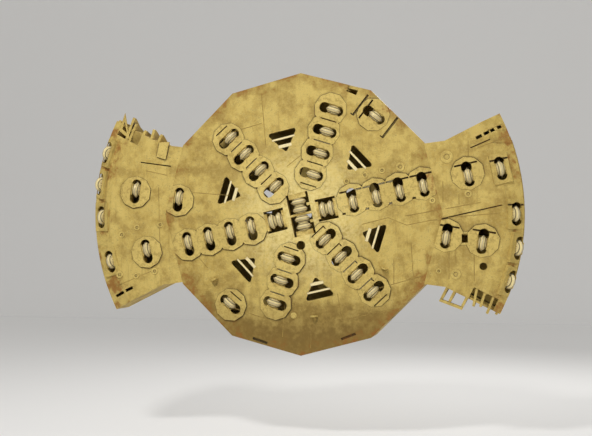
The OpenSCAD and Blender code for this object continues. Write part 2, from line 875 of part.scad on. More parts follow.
// The square hole in the right wing's face, or the plate round it
module port_plate(border, top) {
    size = [wing_port[2] + 2 * border, wing_port[3] + 2 * border];
    low = border > 0 ? face_rear : face_rear - over;
    translate([wing_port[0] - size[0] / 2, wing_port[1] - size[1] / 2, low])
        cube([size[0], size[1], top - low]);
}

// A raised box that holds a cutter at the rim
module gauge_block() {
    translate([-gauge_half_w, -gauge_l / 2, axle_below - housing_h])
        cube([2 * gauge_half_w, gauge_l, housing_h + face_t]);
}

// The space that a raised box takes in a wing's plates
module gauge_space() {
    w = gauge_half_w + weld_gap;
    l = gauge_l / 2 + weld_gap;
    translate([-w, -l, axle_below - housing_h - weld_gap]) cube([2 * w, 2 * l, housing_h + face_t + pad_t]);
}

module gauge_box(arms) {
    inside = gauge_l / 2 - housing_t;
    difference() {
        gauge_block();
        translate([-saddle_end, -inside, axle_below - housing_h - over])
            cube([2 * saddle_end, 2 * inside, housing_h + over]);
        slot_cut(gauge_slot_l, 0);
        if (arms) notches(gauge_slot_l, 0);
    }
}

module gauge_boxes() {
    laid_over() color(paint) {
        intersection() {
            for (c = gauge) at_gauge(c) gauge_box(c[1] == 0 && c[4] < steep);
            cylinder(r = rim_r + gauge_out, h = 2 * face_z, $fn = rim_fn);
        }
        for (wing = [0, 180]) each_wing_flat(wing) housing();
    }
}

module wing_box(wing) {
    difference() {
        union() {
            intersection() {
                translate([0, 0, back_z]) cylinder(r = rim_r, h = back_t, $fn = rim_fn);
                on_wing(wing) translate([0, 0, back_z]) linear_extrude(back_t) wing_plan();
            }
            intersection() {
                translate([0, 0, back_z]) rotate_extrude($fn = rim_fn)
                    translate([rim_r - rim_t, 0]) square([rim_t, rim_top - back_z]);
                on_wing(wing) translate([0, 0, back_z]) linear_extrude(face_z) wing_plan();
            }
            intersection() {
                wing_inside();
                on_wing(wing) difference() {
                    translate([0, 0, back_z]) linear_extrude(face_z) wing_plan();
                    translate([0, 0, back_z - over]) linear_extrude(face_z + 2 * over) wing_plan(side_t);
                }
            }
            intersection() {
                translate([0, 0, back_z])
                    dodecagon(centre_r + wing_joint_t / cos(half_side), face_rear - back_z);
                on_wing(wing) translate([0, 0, back_z]) linear_extrude(face_z) wing_plan();
            }
            intersection() {
                wing_inside();
                on_wing(wing) for (a = [-wing_rib_turn, wing_rib_turn])
                    rotate([0, 0, a]) translate([centre_r, -rib_t / 2, back_top]) difference() {
                        cube([wing_reach, rib_t, box_h]);
                        translate([wing_reach / 2, 0, box_h / 3])
                            rotate([90, 0, 0]) cylinder(r = wing_rib_hole_r, h = 3 * rib_t, center = true);
                    }
            }
        }
        translate([0, 0, back_z - over]) dodecagon(centre_r, face_z);
        on_wing(wing) at_facets(0, 0) chute(2 * joint_t);
        on_wing(wing) at_facets(11, 11) chute(2 * joint_t);
        each_gauge(wing) gauge_space();
        each_wing_flat(wing) housing_space();
        at_lead(wing) translate([wing_knee + side_t, -side_t, back_top + mouth_sill])
            cube([rim_r - wing_knee - 3 * side_t, 3 * side_t, box_h - mouth_sill - mouth_lintel]);
    }
}

// A plate that leads the muck into a wing's mouth, from the edge of the face outwards
module finger(reach, inside, lean) {
    deep = -0.75 * box_h;
    end = (finger_t / 2 * sin(lean) + weld_gap) / cos(lean) - inside;
    root = end + inside / cos(lean);
    tip = face_t - 2 * finger_drop;
    foot = inside > 0 ? [[root, weld_gap], [end, weld_gap]] : [];
    rotate([90, 0, -90]) linear_extrude(finger_t, center = true) polygon(concat([
        [end, face_t - finger_drop], [reach, tip], [reach + finger_nose, -tip], [reach, -4 * tip],
        [root + reach / 3, 0.8 * deep], [root, deep],
    ], foot));
}

module wing_fingers(wing) {
    for (f = fingers) if (f[0] == wing) {
        inside = f[1] < mouth_notch_in && f[1] > mouth_notch_out ? mouth_notch_d : 0;
        at_lead(wing) translate([rim_r - f[1], inside, face_rear - bevel_fall(rim_r - f[1])])
            rotate([0, 0, f[3]]) translate([0, -inside, 0]) finger(f[2], inside, f[3]);
    }
}

module wing_right_face() {
    laid_over() color(paint) wing_face(0);
}

module wing_left_face() {
    laid_over() color(paint) wing_face(180);
}

module wing_right_box() {
    laid_over() color(paint) wing_box(0);
}

module wing_left_box() {
    laid_over() color(paint) wing_box(180);
}

module wing_right_fingers() {
    laid_over() color(paint) {
        wing_fingers(0);
        at_lead(0) translate([0, 0, face_z - finger_drop - lip_h])
            linear_extrude(lip_h) polygon(lead_points(lip_plan));
    }
}

module wing_left_fingers() {
    laid_over() color(paint) {
        wing_fingers(180);
        at_lead(180) translate([0, 0, face_rear + weld_gap])
            linear_extrude(face_t - finger_drop) difference() {
                polygon(lead_points(corner_plan));
                polygon(corner_hole());
            }
    }
}

bearing_ring();
bearing_cap();
turning_ring();
drum();
centre_back();
centre_walls();
centre_face();
centre_housings();
centre_axles();
wing_axles();
wing_right_face();
wing_left_face();
wing_right_box();
wing_left_box();
wing_right_fingers();
wing_left_fingers();
gauge_boxes();
for (c = centre_cutters) cutter(c);
for (c = wing_flat) wing_cutter(c);
for (c = gauge) gauge_cutter(c);
for (c = twins) twin(c);
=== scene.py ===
"""Dresses a packed tunnel boring cutterhead: dusty cream paint, cutter steel, bolts, weld beads,
bosses, lifting lugs and covers, with the studio and the camera round it."""

import json
import math
from types import SimpleNamespace

import bmesh
import bpy
from mathutils import Matrix, Vector


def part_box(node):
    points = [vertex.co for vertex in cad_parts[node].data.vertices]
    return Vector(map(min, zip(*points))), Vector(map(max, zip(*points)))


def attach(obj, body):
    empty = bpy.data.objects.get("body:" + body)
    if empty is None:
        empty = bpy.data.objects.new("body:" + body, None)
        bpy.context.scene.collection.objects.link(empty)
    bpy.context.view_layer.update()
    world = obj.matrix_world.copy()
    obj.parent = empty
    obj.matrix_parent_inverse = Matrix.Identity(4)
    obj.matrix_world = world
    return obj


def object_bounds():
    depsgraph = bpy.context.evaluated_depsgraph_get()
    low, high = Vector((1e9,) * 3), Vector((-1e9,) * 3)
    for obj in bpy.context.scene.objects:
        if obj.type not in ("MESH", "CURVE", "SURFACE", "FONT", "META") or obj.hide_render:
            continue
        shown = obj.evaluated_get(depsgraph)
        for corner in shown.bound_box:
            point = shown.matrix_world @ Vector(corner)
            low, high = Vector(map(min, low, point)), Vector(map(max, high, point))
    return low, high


bl_info = {
    "name": "Cutterhead Dressing",
    "version": (1, 0, 0),
    "blender": (4, 5, 0),
    "location": "View3D > Sidebar > Cutterhead",
    "description": "Paints and dresses a hard-rock cutterhead and sets up its studio",
    "category": "Object",
}

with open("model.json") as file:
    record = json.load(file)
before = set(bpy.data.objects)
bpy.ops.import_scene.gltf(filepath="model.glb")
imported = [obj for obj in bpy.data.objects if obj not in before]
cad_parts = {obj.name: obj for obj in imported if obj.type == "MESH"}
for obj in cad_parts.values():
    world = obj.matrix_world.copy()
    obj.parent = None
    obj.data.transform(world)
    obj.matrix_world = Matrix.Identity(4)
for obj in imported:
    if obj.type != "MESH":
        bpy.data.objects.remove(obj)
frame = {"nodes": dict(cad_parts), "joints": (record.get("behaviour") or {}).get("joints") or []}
CAD_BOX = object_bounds()

# Places along the head's axis, from the front to the back
FACE_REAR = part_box("centre_walls")[0].y
FACE_FRONT = FACE_REAR - 0.06
BAR_FRONT = FACE_REAR - 0.045
REAR_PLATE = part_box("centre_back")[1].y
DRUM_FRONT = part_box("drum")[0].y
DRUM_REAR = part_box("drum")[1].y
BEARING_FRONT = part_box("bearing_cap")[0].y
TURNING_FACE = -0.04

# Radii from the head's axis
WINDOW_IN, WINDOW_OUT = 1.7, 3.15
INNER_RIB_R = 3.02
RIM_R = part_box("wing_right_box")[1].x
DRUM_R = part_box("drum")[1].x
TURNING_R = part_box("turning_ring")[1].x
BEARING_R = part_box("bearing_ring")[1].x

FLANGE_T = 0.07
RING_BOLTS = 48
DISCS = {j["child"]: j for j in frame["joints"] if j["child"].startswith("disc_")}


# Sizes and colours that a user would change


def tint(name, description, default):
    """A colour among the settings"""
    return bpy.props.FloatVectorProperty(
        name=name, description=description, subtype="COLOR", size=3, default=default, min=0, max=1
    )


def length(name, description, default, low, high):
    """A length among the settings, with its range"""
    return bpy.props.FloatProperty(
        name=name, description=description, default=default, min=low, max=high, unit="LENGTH"
    )


def angle(name, description, degrees, limit):
    """An angle among the settings, given in degrees, with its limit in radians"""
    default = math.radians(degrees)
    return bpy.props.FloatProperty(
        name=name, description=description, default=default, min=-limit, max=limit, subtype="ANGLE"
    )


class PaintColours(bpy.types.PropertyGroup):
    """Colours of the paint, the dust and the rust"""

    cream: tint("Cream paint", "Main paint of the plates", (0.41, 0.28, 0.062))
    pale: tint("Pale dust", "Rock flour lying on the paint", (0.69, 0.53, 0.165))
    ochre: tint("Old paint", "Darker, browner patches of the paint", (0.25, 0.155, 0.032))
    # Also painted as shade: in corners, along steps, on the walls behind the face and at the disc rings'
    # foot
    grime_and_shade: tint("Grime", "Dirt in corners and run-off below edges", (0.045, 0.028, 0.011))
    rust: tint("Rust", "Rust where the paint is gone", (0.27, 0.095, 0.016))


class SteelColours(bpy.types.PropertyGroup):
    """Colours of the bare and oiled steel"""

    ring: tint("Disc ring", "Hardened steel of the disc rings", (0.58, 0.46, 0.22))
    machined: tint("Machined steel", "Turned steel of the main bearing", (0.46, 0.46, 0.45))
    bolt: tint("Bolt steel", "Dull steel of bolts and washers", (0.27, 0.235, 0.185))


class FastenerSizes(bpy.types.PropertyGroup):
    """Sizes of the bolts and the weld beads"""

    large: length("Large bolt", "Radius over the corners of a large bolt's head", 0.052, 0.03, 0.07)
    small: length("Small bolt", "Radius over the corners of a small bolt's head", 0.022, 0.012, 0.03)
    bead: length("Weld bead", "Radius of a weld bead", 0.014, 0.006, 0.02)
    pitch: length("Bead ripple", "Distance between the ripples of a weld bead", 0.03, 0.01, 0.06)


class StudioSettings(bpy.types.PropertyGroup):
    """Floor, light and camera"""

    floor: tint("Floor", "Colour of the floor and the backdrop", (0.80, 0.79, 0.77))
    floor_gap: length("Floor gap", "Room between the turning head and the floor", 0.25, 0, 5)
    azimuth: angle("Camera azimuth", "How far the camera stands to the right of the head's axis", 11, 3.15)
    elevation: angle("Camera elevation", "Height of the camera above the head's axis, as an angle", -1, 1.5)
    distance: length("Camera distance", "Distance from the camera to the middle of the face", 38, 10, 200)
    lens: bpy.props.FloatProperty(
        name="Lens", description="Focal length in millimetres", default=71.8, min=10, max=300
    )


# Shaders


# Pale middle of the face: rock flour together with a painted pool of light
MIDDLE_FLOUR_AND_LIGHT = (0.80, 0.66, 0.28)
FLOUR_BARS = (0.86, 0.74, 0.42)
FLOUR_RINGS = (0.80, 0.67, 0.32)
WORN_STEEL = (0.62, 0.55, 0.40)
TURNED_SHADE = (0.30, 0.30, 0.29)
GREASE = (0.10, 0.075, 0.04)


def colours():
    """The colours of the settings, as plain tuples"""
    found = {}
    for name in ("paint_colours", "steel_colours"):
        group = getattr(bpy.context.scene, name)
        found.update({key: tuple(getattr(group, key)) for key in GROUPS[name].__annotations__})
    return SimpleNamespace(**found)


class Value:
    """A socket of a material's tree, on which arithmetic adds Math nodes"""

    def __init__(self, maker, socket):
        self.maker = maker
        self.socket = socket

    def math(self, operation, other, swap=False, clamp=False):
        pair = {0: other, 1: self} if swap else {0: self, 1: other}
        settings = {"operation": operation, "use_clamp": clamp}
        return self.maker.value("ShaderNodeMath", settings, pair)

    def __add__(self, other):
        return self.math("ADD", other)

    def __sub__(self, other):
        return self.math("SUBTRACT", other)

    def __mul__(self, other):
        return self.math("MULTIPLY", other)

    def __rsub__(self, other):
        return self.math("SUBTRACT", other, swap=True)

    __radd__ = __add__
    __rmul__ = __mul__

    def step(self, low, high):
        """0 below low, 1 above high, smooth between"""
        inputs = {"Value": self, "From Min": low, "From Max": high}
        return self.maker.value("ShaderNodeMapRange", {"interpolation_type": "SMOOTHSTEP"}, inputs)

    def limit(self):
        """Kept between 0 and 1"""
        return self.math("ADD", 0.0, clamp=True)


class Maker:
    """Builds the tree of one material"""

    def __init__(self, name):
        self.material = bpy.data.materials.new(name)
        self.material.use_nodes = True
        self.tree = self.material.node_tree
        self.tree.nodes.clear()

    def node(self, kind, settings=None, inputs=None):
        """Adds a node: first its settings, then the values or links of its sockets"""
        made = self.tree.nodes.new(kind)
        for key, setting in (settings or {}).items():
            setattr(made, key, setting)
        for key, given in (inputs or {}).items():
            if isinstance(given, Value):
                self.tree.links.new(given.socket, made.inputs[key])
            else:
                made.inputs[key].default_value = given
        return made

    def value(self, kind, settings=None, inputs=None, output=0):
        """Adds a node and gives one of its outputs"""
        return Value(self, self.node(kind, settings, inputs).outputs[output])

    def place(self):
        """Object coordinates"""
        return self.value("ShaderNodeTexCoord", output="Object")

    def facing(self):
        """The surface's own normal, in the object's frame"""
        return self.value("ShaderNodeTexCoord", output="Normal")

    def vector(self, operation, first, second=(0, 0, 0), output="Vector"):
        settings = {"operation": operation}
        return self.value("ShaderNodeVectorMath", settings, {0: first, 1: second}, output)

    def parts(self, vector):
        """The three numbers of a vector"""
        made = self.node("ShaderNodeSeparateXYZ", None, {0: vector})
        return [Value(self, made.outputs[i]) for i in range(3)]

    def join(self, x, y, z):
        return self.value("ShaderNodeCombineXYZ", None, {0: x, 1: y, 2: z})

    def reach(self, x, z):
        """Distance from the head's axis"""
        return self.vector("LENGTH", self.join(x, 0.0, z), output="Value")

    def noise(self, place, scale, detail, roughness):
        inputs = {"Vector": place, "Scale": scale, "Detail": detail, "Roughness": roughness}
        return self.value("ShaderNodeTexNoise", None, inputs)

    def blend(self, factor, first, second):
        """Mixes two colours"""
        first, second = [c if isinstance(c, Value) else (*c, 1) for c in (first, second)]
        return self.value("ShaderNodeMix", {"data_type": "RGBA"}, {0: factor, 6: first, 7: second}, 2)

    def crevice(self, distance):
        """1 in corners and 0 on open surfaces"""
        settings = {"only_local": True, "samples": 6}
        return 1 - self.value("ShaderNodeAmbientOcclusion", settings, {"Distance": distance}, "AO")

    def finish(self, colour, rough, height, strength, depth, **fixed):
        """Closes the tree with a Principled shader, bumped by height as strongly and deeply as given"""
        bump = {"Strength": strength, "Distance": depth, "Height": height}
        inputs = {"Base Color": colour, "Roughness": rough}
        inputs["Normal"] = self.value("ShaderNodeBump", None, bump)
        inputs.update({name.replace("_", " "): given for name, given in fixed.items()})
        shader = self.node("ShaderNodeBsdfPrincipled", None, inputs)
        output = self.node("ShaderNodeOutputMaterial")
        self.tree.links.new(shader.outputs[0], output.inputs[0])
        return self.material


def plate_paint(
    name, dust, age, rust, corner=0.22, glow=0.0, low=0.0, front="", rim=0.0, deep=""
):
    """Cream paint under dust, with old patches, run-off, rust spots, and corners darkened partly by muck
    and partly by painted shade.

    dust, age and rust say how much of each there is, and corner how far the darkening of the corners,
    partly muck and partly painted shade, reaches out of a corner.
    glow pales the middle of the head, partly with rock flour and partly with a painted pool of light, and
    low darkens and browns its foot, partly muck and partly painted shade, and its edge with painted shade.
    front is "pads" where the raised pads are paler, and "bars" where the bars in the windows are too.
    rim is the radius beyond which the paint is worn off. deep is "centre" or "all", for walls that lie in
    the dark, which it paints near black as painted shade.
    """
    c = colours()
    m = Maker(name)
    p = m.place()
    x, y, z = m.parts(p)
    reach = m.reach(x, z)

    # From clouds to grains, then run-off and scratches round the head's axis
    cloud = m.noise(p, 0.5, 5.0, 0.6)
    patch = m.noise(p, 1.9, 6.0, 0.64)
    mottle = m.noise(p, 6.5, 5.0, 0.66)
    fine = m.noise(p, 15.0, 5.0, 0.65)
    grain = m.noise(p, 70.0, 3.0, 0.6)
    runs = m.noise(m.join(x * 3.2, y * 3.2, z * 0.28), 2.4, 4.0, 0.6)
    arcs = m.noise(m.join(reach * 26.0, x * 0.25, z * 0.25), 1.0, 3.0, 0.5)

    # Old paint and rock flour
    old = (patch * 0.6 + cloud * 0.4 + mottle * 0.25).step(0.66 - 0.16 * age, 0.88 - 0.26 * age)
    colour = m.blend(old * (0.4 + 0.6 * age), c.cream, c.ochre)
    flour = (cloud * 0.45 + mottle * 0.3 + fine * 0.3 + grain * 0.1 + dust * 0.22).step(0.50, 0.82)
    # glow also adds a painted pool of light in the middle to the flour mask
    if glow:
        flour = (flour + glow * (1 - reach.step(0.8, 3.7)) * (0.35 + patch)).limit()
    colour = m.blend(flour * (0.3 + 0.6 * dust), colour, c.pale)

    # Patches of every size, specks, run-off and scratches
    colour = m.blend(mottle.step(0.47, 0.68) * 0.4, colour, c.ochre)
    colour = m.blend(cloud.step(0.5, 0.72) * 0.3, colour, c.ochre)
    patchy = 0.38 if front else 0.2
    colour = m.blend(patch.step(0.50, 0.60) * patchy, colour, c.ochre)
    colour = m.blend((1 - patch.step(0.40, 0.50)) * patchy, colour, c.pale)
    colour = m.blend(fine.step(0.50, 0.66) * 0.5, colour, c.pale)
    specks = (grain * 0.45 + fine * 0.6).step(0.56, 0.64)
    colour = m.blend(specks * 0.5, colour, c.grime_and_shade)
    colour = m.blend(runs.step(0.56, 0.72) * 0.3, colour, c.ochre)
    colour = m.blend(arcs.step(0.66, 0.78) * 0.2, colour, c.pale)

    # The darker, browner foot, partly muck and partly painted shade, the edge darkened with painted shade,
    # and the pale middle, partly rock flour and partly a painted pool of light
    if low:
        foot_muck_and_shade = ((0 - z) + (patch - 0.5) * 2.6).step(1.9, 4.1)
        foot_muck_and_shade = (foot_muck_and_shade * low * (0.45 + 1.3 * mottle)).limit()
        foot_brown_and_shade = tuple(0.7 * a + 0.3 * b for a, b in zip(c.ochre, c.grime_and_shade))
        colour = m.blend(foot_muck_and_shade, colour, foot_brown_and_shade)
        # Painted shade: the outer part of the face darker and browner
        edge = (reach + (patch - 0.5) * 1.6).step(3.9, 4.6)
        colour = m.blend(edge * 0.55 * low, colour, c.ochre)
    # Painted pool of light over the rock flour in the middle of the face
    if glow:
        flour_and_light_mottle = (fine * 0.5 + mottle * 0.5).step(0.36, 0.6)
        middle = (1 - reach.step(0.9, 2.8)) * flour_and_light_mottle * 0.75 * glow
        colour = m.blend(middle, colour, MIDDLE_FLOUR_AND_LIGHT)

    # Grime and painted shade in the corners, pads that stand out of it, and a thin painted shadow line
    # along every step
    hollow = m.crevice(corner)
    corner_grime_and_shade = (hollow.step(0.12, 0.75) * (0.45 + fine)).limit()
    colour = m.blend(corner_grime_and_shade * 0.72, colour, c.grime_and_shade)
    if front:
        raised = 1 - y.step(FACE_FRONT - 0.012, FACE_FRONT - 0.006)
        colour = m.blend((raised * (0.7 * patch + 0.5 * mottle - 0.15)).limit(), colour, c.pale)
        smear = (mottle * 0.6 + fine * 0.4).step(0.46, 0.60) * 0.5
        colour = m.blend(raised * smear, colour, c.ochre)
    # Painted shadow: the thin dark line where every step meets the plate
    line = m.crevice(0.08).step(0.09, 0.32)
    colour = m.blend(line * 0.92, colour, c.grime_and_shade)

    # Rust in spots, and where the rim is worn
    spots = fine * 0.6 + patch * 0.55 + grain * 0.12 + hollow * 0.18
    spots = spots.step(0.80 - 0.1 * rust, 0.9 - 0.08 * rust)
    colour = m.blend(spots * (0.4 + 0.6 * rust), colour, c.rust)
    if rim:
        bared = (reach + (mottle - 0.5) * 1.6).step(rim, rim + 0.5) * patch.step(0.48, 0.58)
        colour = m.blend(bared * 0.7, colour, c.rust)

    # Pale bars in the windows, and painted shade, near black, on the walls behind the face
    if front == "bars":
        looks_out = (0 - m.parts(m.facing())[1]).step(0.9, 0.95)
        bar = looks_out * y.step(BAR_FRONT - 0.004, BAR_FRONT - 0.002)
        bar = bar * reach.step(WINDOW_IN, WINDOW_IN + 0.05)
        bar = bar * (1 - reach.step(WINDOW_OUT - 0.05, WINDOW_OUT))
        colour = m.blend(bar * (0.6 + 0.4 * fine), colour, FLOUR_BARS)
    if deep:
        within_painted_shade = y.step(FACE_REAR + 0.05, FACE_REAR + 0.4)
        within_painted_shade = within_painted_shade * (1 - y.step(REAR_PLATE - 0.06, REAR_PLATE - 0.05))
        if deep == "centre":
            within_painted_shade = within_painted_shade * (1 - reach.step(3.9, 4.0))
        # Painted shade, near black, where the walls lie behind the face
        colour = m.blend(within_painted_shade * 0.9, colour, tuple(0.45 * v for v in c.grime_and_shade))

    rough = 0.56 + 0.26 * flour + 0.1 * spots
    height = fine * 0.35 + grain * 0.12 + patch * 0.5 + mottle * 0.3 - spots * 0.25 + runs * 0.1
    return m.finish(colour, rough, height, 0.4, 0.014, Specular_IOR_Level=0.25)


def ring_steel(name, centre, axis):
    """A disc cutter: worn edge, dusty barrel and ends, for one cutter's own place"""
    c = colours()
    m = Maker(name)
    p = m.place()
    arm = m.vector("SUBTRACT", p, tuple(centre))
    reach = m.vector("LENGTH", m.vector("CROSS_PRODUCT", arm, tuple(axis)), output="Value")
    blotch = m.noise(p, 7.0, 5.0, 0.6)
    fine = m.noise(p, 46.0, 4.0, 0.6)
    turned = m.noise(m.join(reach * 240.0, 0.0, 0.0), 1.0, 2.0, 0.5)
    dust = (blotch * 0.7 + fine * 0.4).step(0.36, 0.62)
    colour = m.blend(dust * 0.8, c.ring, FLOUR_RINGS)
    stain = (blotch * 0.5 + fine * 0.55).step(0.58, 0.72)
    colour = m.blend(stain * 0.3, colour, c.rust)
    # Painted shadow: a dark line round the foot of the ring
    foot = (reach.step(0.176, 0.184) * (1 - reach.step(0.196, 0.204))).limit()
    colour = m.blend(foot * 0.8, colour, c.grime_and_shade)
    # Darkening in the hollows, partly grime and partly painted shade
    colour = m.blend(m.crevice(0.08).step(0.2, 0.8) * 0.6, colour, c.grime_and_shade)
    worn = (reach + (fine - 0.5) * 0.02).step(0.234, 0.247)
    colour = m.blend(worn * 0.7, colour, WORN_STEEL)
    rough = 0.74 - 0.34 * worn + 0.12 * dust
    height = fine * 0.5 + turned * 0.25 + blotch * 0.3
    return m.finish(colour, rough, height, 0.35, 0.004, Metallic=worn * 0.7)


def saddle_steel(name):
    """Axles and the blocks that hold them, oiled, dusty and rusting"""
    c = colours()
    m = Maker(name)
    p = m.place()
    blotch = m.noise(p, 4.0, 6.0, 0.6)
    fine = m.noise(p, 38.0, 4.0, 0.6)
    colour = m.blend(blotch.step(0.38, 0.62), c.cream, c.pale)
    colour = m.blend((blotch * 0.5 + fine * 0.5).step(0.54, 0.68) * 0.6, colour, c.rust)
    colour = m.blend(fine.step(0.5, 0.7) * 0.4, colour, c.ochre)
    # Darkening in the hollows, partly grime and partly painted shade
    colour = m.blend(m.crevice(0.1).step(0.2, 0.8) * 0.7, colour, c.grime_and_shade)
    return m.finish(colour, 0.6 + 0.25 * blotch, fine * 0.5 + blotch, 0.4, 0.005)


def turned_steel(name):
    """Machined bearing steel with fine turning marks, a film of grease and a little rust"""
    c = colours()
    m = Maker(name)
    p = m.place()
    x, y, z = m.parts(p)
    reach = m.reach(x, z)
    marks = m.noise(m.join(reach * 160.0, y * 160.0, 0.0), 1.0, 2.0, 0.5)
    blotch = m.noise(p, 1.6, 5.0, 0.6)
    fine = m.noise(p, 30.0, 4.0, 0.6)
    colour = m.blend(marks.step(0.3, 0.7) * 0.25, c.machined, TURNED_SHADE)
    film = (blotch * 0.8 + fine * 0.2).step(0.48, 0.64)
    colour = m.blend(film * 0.6, colour, GREASE)
    colour = m.blend((fine * 0.5 + blotch * 0.5).step(0.57, 0.68) * 0.6, colour, c.rust)
    rough = 0.34 + 0.2 * marks + 0.25 * film
    return m.finish(colour, rough, marks * 0.4 + fine * 0.3, 0.2, 0.003, Metallic=0.85)


def bolt_steel(name):
    """Dull bolt steel with rust in its corners and dust on top"""
    c = colours()
    m = Maker(name)
    p = m.place()
    blotch = m.noise(p, 5.0, 4.0, 0.6)
    fine = m.noise(p, 60.0, 3.0, 0.6)
    colour = m.blend(blotch.step(0.35, 0.65) * 0.6, c.bolt, c.rust)
    colour = m.blend(fine.step(0.45, 0.65) * 0.4, colour, c.pale)
    return m.finish(colour, 0.48 + 0.3 * blotch, fine, 0.3, 0.002, Metallic=0.4)


def bead_metal(name):
    """Painted weld metal, darker than the plates"""
    c = colours()
    m = Maker(name)
    p = m.place()
    blotch = m.noise(p, 3.0, 5.0, 0.6)
    fine = m.noise(p, 55.0, 3.0, 0.6)
    colour = m.blend(blotch.step(0.35, 0.65), c.ochre, c.cream)
    colour = m.blend(fine.step(0.5, 0.7) * 0.6, colour, c.grime_and_shade)
    return m.finish(colour, 0.7 + 0.15 * fine, fine, 0.4, 0.003)


# Meshes


def face_point(x, y):
    """A point on the face plate's front, x to the right and y up"""
    return Vector((x, FACE_FRONT, y))


def new_piece(name, build, material):
    """Makes a mesh object of what build puts into a BMesh"""
    bm = bmesh.new()
    build(bm)
    bmesh.ops.remove_doubles(bm, verts=bm.verts, dist=1e-6)
    bmesh.ops.recalc_face_normals(bm, faces=bm.faces)
    mesh = bpy.data.meshes.new(name)
    bm.to_mesh(mesh)
    bm.free()
    mesh.materials.append(material)
    made = bpy.data.objects.new(name, mesh)
    bpy.context.scene.collection.objects.link(made)
    return made


def seat(made, body):
    """Puts a piece on its body"""
    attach(made, body)


def lathe(bm, profile, place, count):
    """Turns a closed profile of (radius, height) points round the z axis of place, in count steps"""
    rings = []
    for radius, height in profile:
        if radius < 1e-6:
            rings.append([bm.verts.new(place @ Vector((0, 0, height)))])
            continue
        ring = []
        for i in range(count):
            a = 2 * math.pi * i / count
            point = Vector((radius * math.cos(a), radius * math.sin(a), height))
            ring.append(bm.verts.new(place @ point))
        rings.append(ring)
    for low, high in zip(rings, rings[1:]):
        for i in range(max(len(low), len(high))):
            j = (i + 1) % max(len(low), len(high))
            face = [low[i % len(low)], low[j % len(low)], high[j % len(high)], high[i % len(high)]]
            bm.faces.new(list(dict.fromkeys(face)))


def slab(bm, outline, place, thickness, bevel=0.0):
    """Extrudes a flat outline in the plane of place by a thickness"""
    low = [bm.verts.new(place @ Vector((x, y, 0))) for x, y in outline]
    high = [bm.verts.new(place @ Vector((x, y, thickness))) for x, y in outline]
    bm.faces.new(low[::-1])
    top = bm.faces.new(high)
    for i in range(len(outline)):
        bm.faces.new([low[i - 1], low[i], high[i], high[i - 1]])
    if bevel:
        edges = list(top.edges)
        bmesh.ops.bevel(bm, geom=edges, offset=bevel, segments=2, affect="EDGES", profile=0.6)


def on_front(x, z, y, turn=0.0):
    """Matrix that puts a piece's xy plane on a surface that looks to the front, z out of it"""
    basis = Matrix(((1, 0, 0), (0, 0, -1), (0, 1, 0))).to_4x4()
    return Matrix.Translation(Vector((x, y, z))) @ basis @ Matrix.Rotation(turn, 4, "Z")


def facing_back(x, z, y):
    """Matrix that puts a piece's xy plane on a rear surface, z towards the machine"""
    basis = Matrix(((-1, 0, 0), (0, 0, 1), (0, 1, 0))).to_4x4()
    return Matrix.Translation(Vector((x, y, z))) @ basis


def arc(radius, start, end, count, centre=(0, 0)):
    """Points on an arc, angles in degrees"""
    steps = [math.radians(start + (end - start) * i / count) for i in range(count + 1)]
    return [(centre[0] + radius * math.cos(a), centre[1] + radius * math.sin(a)) for a in steps]


def rectangle(half_x, half_y):
    """Outline of a rectangle"""
    return [(-half_x, -half_y), (half_x, -half_y), (half_x, half_y), (-half_x, half_y)]


def rounded(half_x, half_y, radius):
    """Outline of a rectangle that is wider by a radius and rounded with it"""
    points = []
    for k, (x, y) in enumerate(((1, 1), (-1, 1), (-1, -1), (1, -1))):
        points += arc(radius, 90 * k, 90 * (k + 1), 5, (x * half_x, y * half_y))
    return points


# Geometry Nodes


def start_tree(name, sizes):
    """A tree that takes a mesh, sizes and a material, and the sockets that hold what it's given"""
    tree = bpy.data.node_groups.new(name, "GeometryNodeTree")
    face = tree.interface
    face.new_socket("Geometry", in_out="INPUT", socket_type="NodeSocketGeometry")
    for size in sizes:
        face.new_socket(size, in_out="INPUT", socket_type="NodeSocketFloat")
    face.new_socket("Finish", in_out="INPUT", socket_type="NodeSocketMaterial")
    face.new_socket("Geometry", in_out="OUTPUT", socket_type="NodeSocketGeometry")
    return tree, tree.nodes.new("NodeGroupInput").outputs


def end_tree(tree, made, finish):
    """Makes a tree's instances real, gives them their material and hands them out"""
    add, link = tree.nodes.new, tree.links.new
    real, paint = add("GeometryNodeRealizeInstances"), add("GeometryNodeSetMaterial")
    link(made, real.inputs[0])
    link(real.outputs[0], paint.inputs["Geometry"])
    link(finish, paint.inputs["Material"])
    link(paint.outputs[0], add("NodeGroupOutput").inputs[0])
    return tree


def bolt_tree():
    """A tree that sets a hexagon bolt with its washer on each point, turned by the points' attribute"""
    sizes = ("Head Radius", "Head Height", "Washer Radius", "Washer Height")
    tree, given = start_tree("hexagon bolts", sizes)
    add, link = tree.nodes.new, tree.links.new
    whole = add("GeometryNodeJoinGeometry")
    for solid, sides in (("Head", 6), ("Washer", 18)):
        cylinder = add("GeometryNodeMeshCylinder")
        cylinder.inputs["Vertices"].default_value = sides
        link(given[solid + " Radius"], cylinder.inputs["Radius"])
        link(given[solid + " Height"], cylinder.inputs["Depth"])
        half = add("ShaderNodeMath")
        half.operation = "MULTIPLY_ADD"
        half.inputs[1].default_value = 0.5
        half.inputs[2].default_value = 0.0
        link(given[solid + " Height"], half.inputs[0])
        if solid == "Head":
            link(given["Washer Height"], half.inputs[2])
        up, lift = add("ShaderNodeCombineXYZ"), add("GeometryNodeTransform")
        link(half.outputs[0], up.inputs[2])
        link(up.outputs[0], lift.inputs["Translation"])
        link(cylinder.outputs["Mesh"], lift.inputs["Geometry"])
        link(lift.outputs[0], whole.inputs[0])
    turn = add("GeometryNodeInputNamedAttribute")
    turn.data_type = "FLOAT_VECTOR"
    turn.inputs["Name"].default_value = "turn"
    spread = add("GeometryNodeInstanceOnPoints")
    link(given["Geometry"], spread.inputs["Points"])
    link(whole.outputs[0], spread.inputs["Instance"])
    link(turn.outputs[0], spread.inputs["Rotation"])
    return end_tree(tree, spread.outputs[0], given["Finish"])


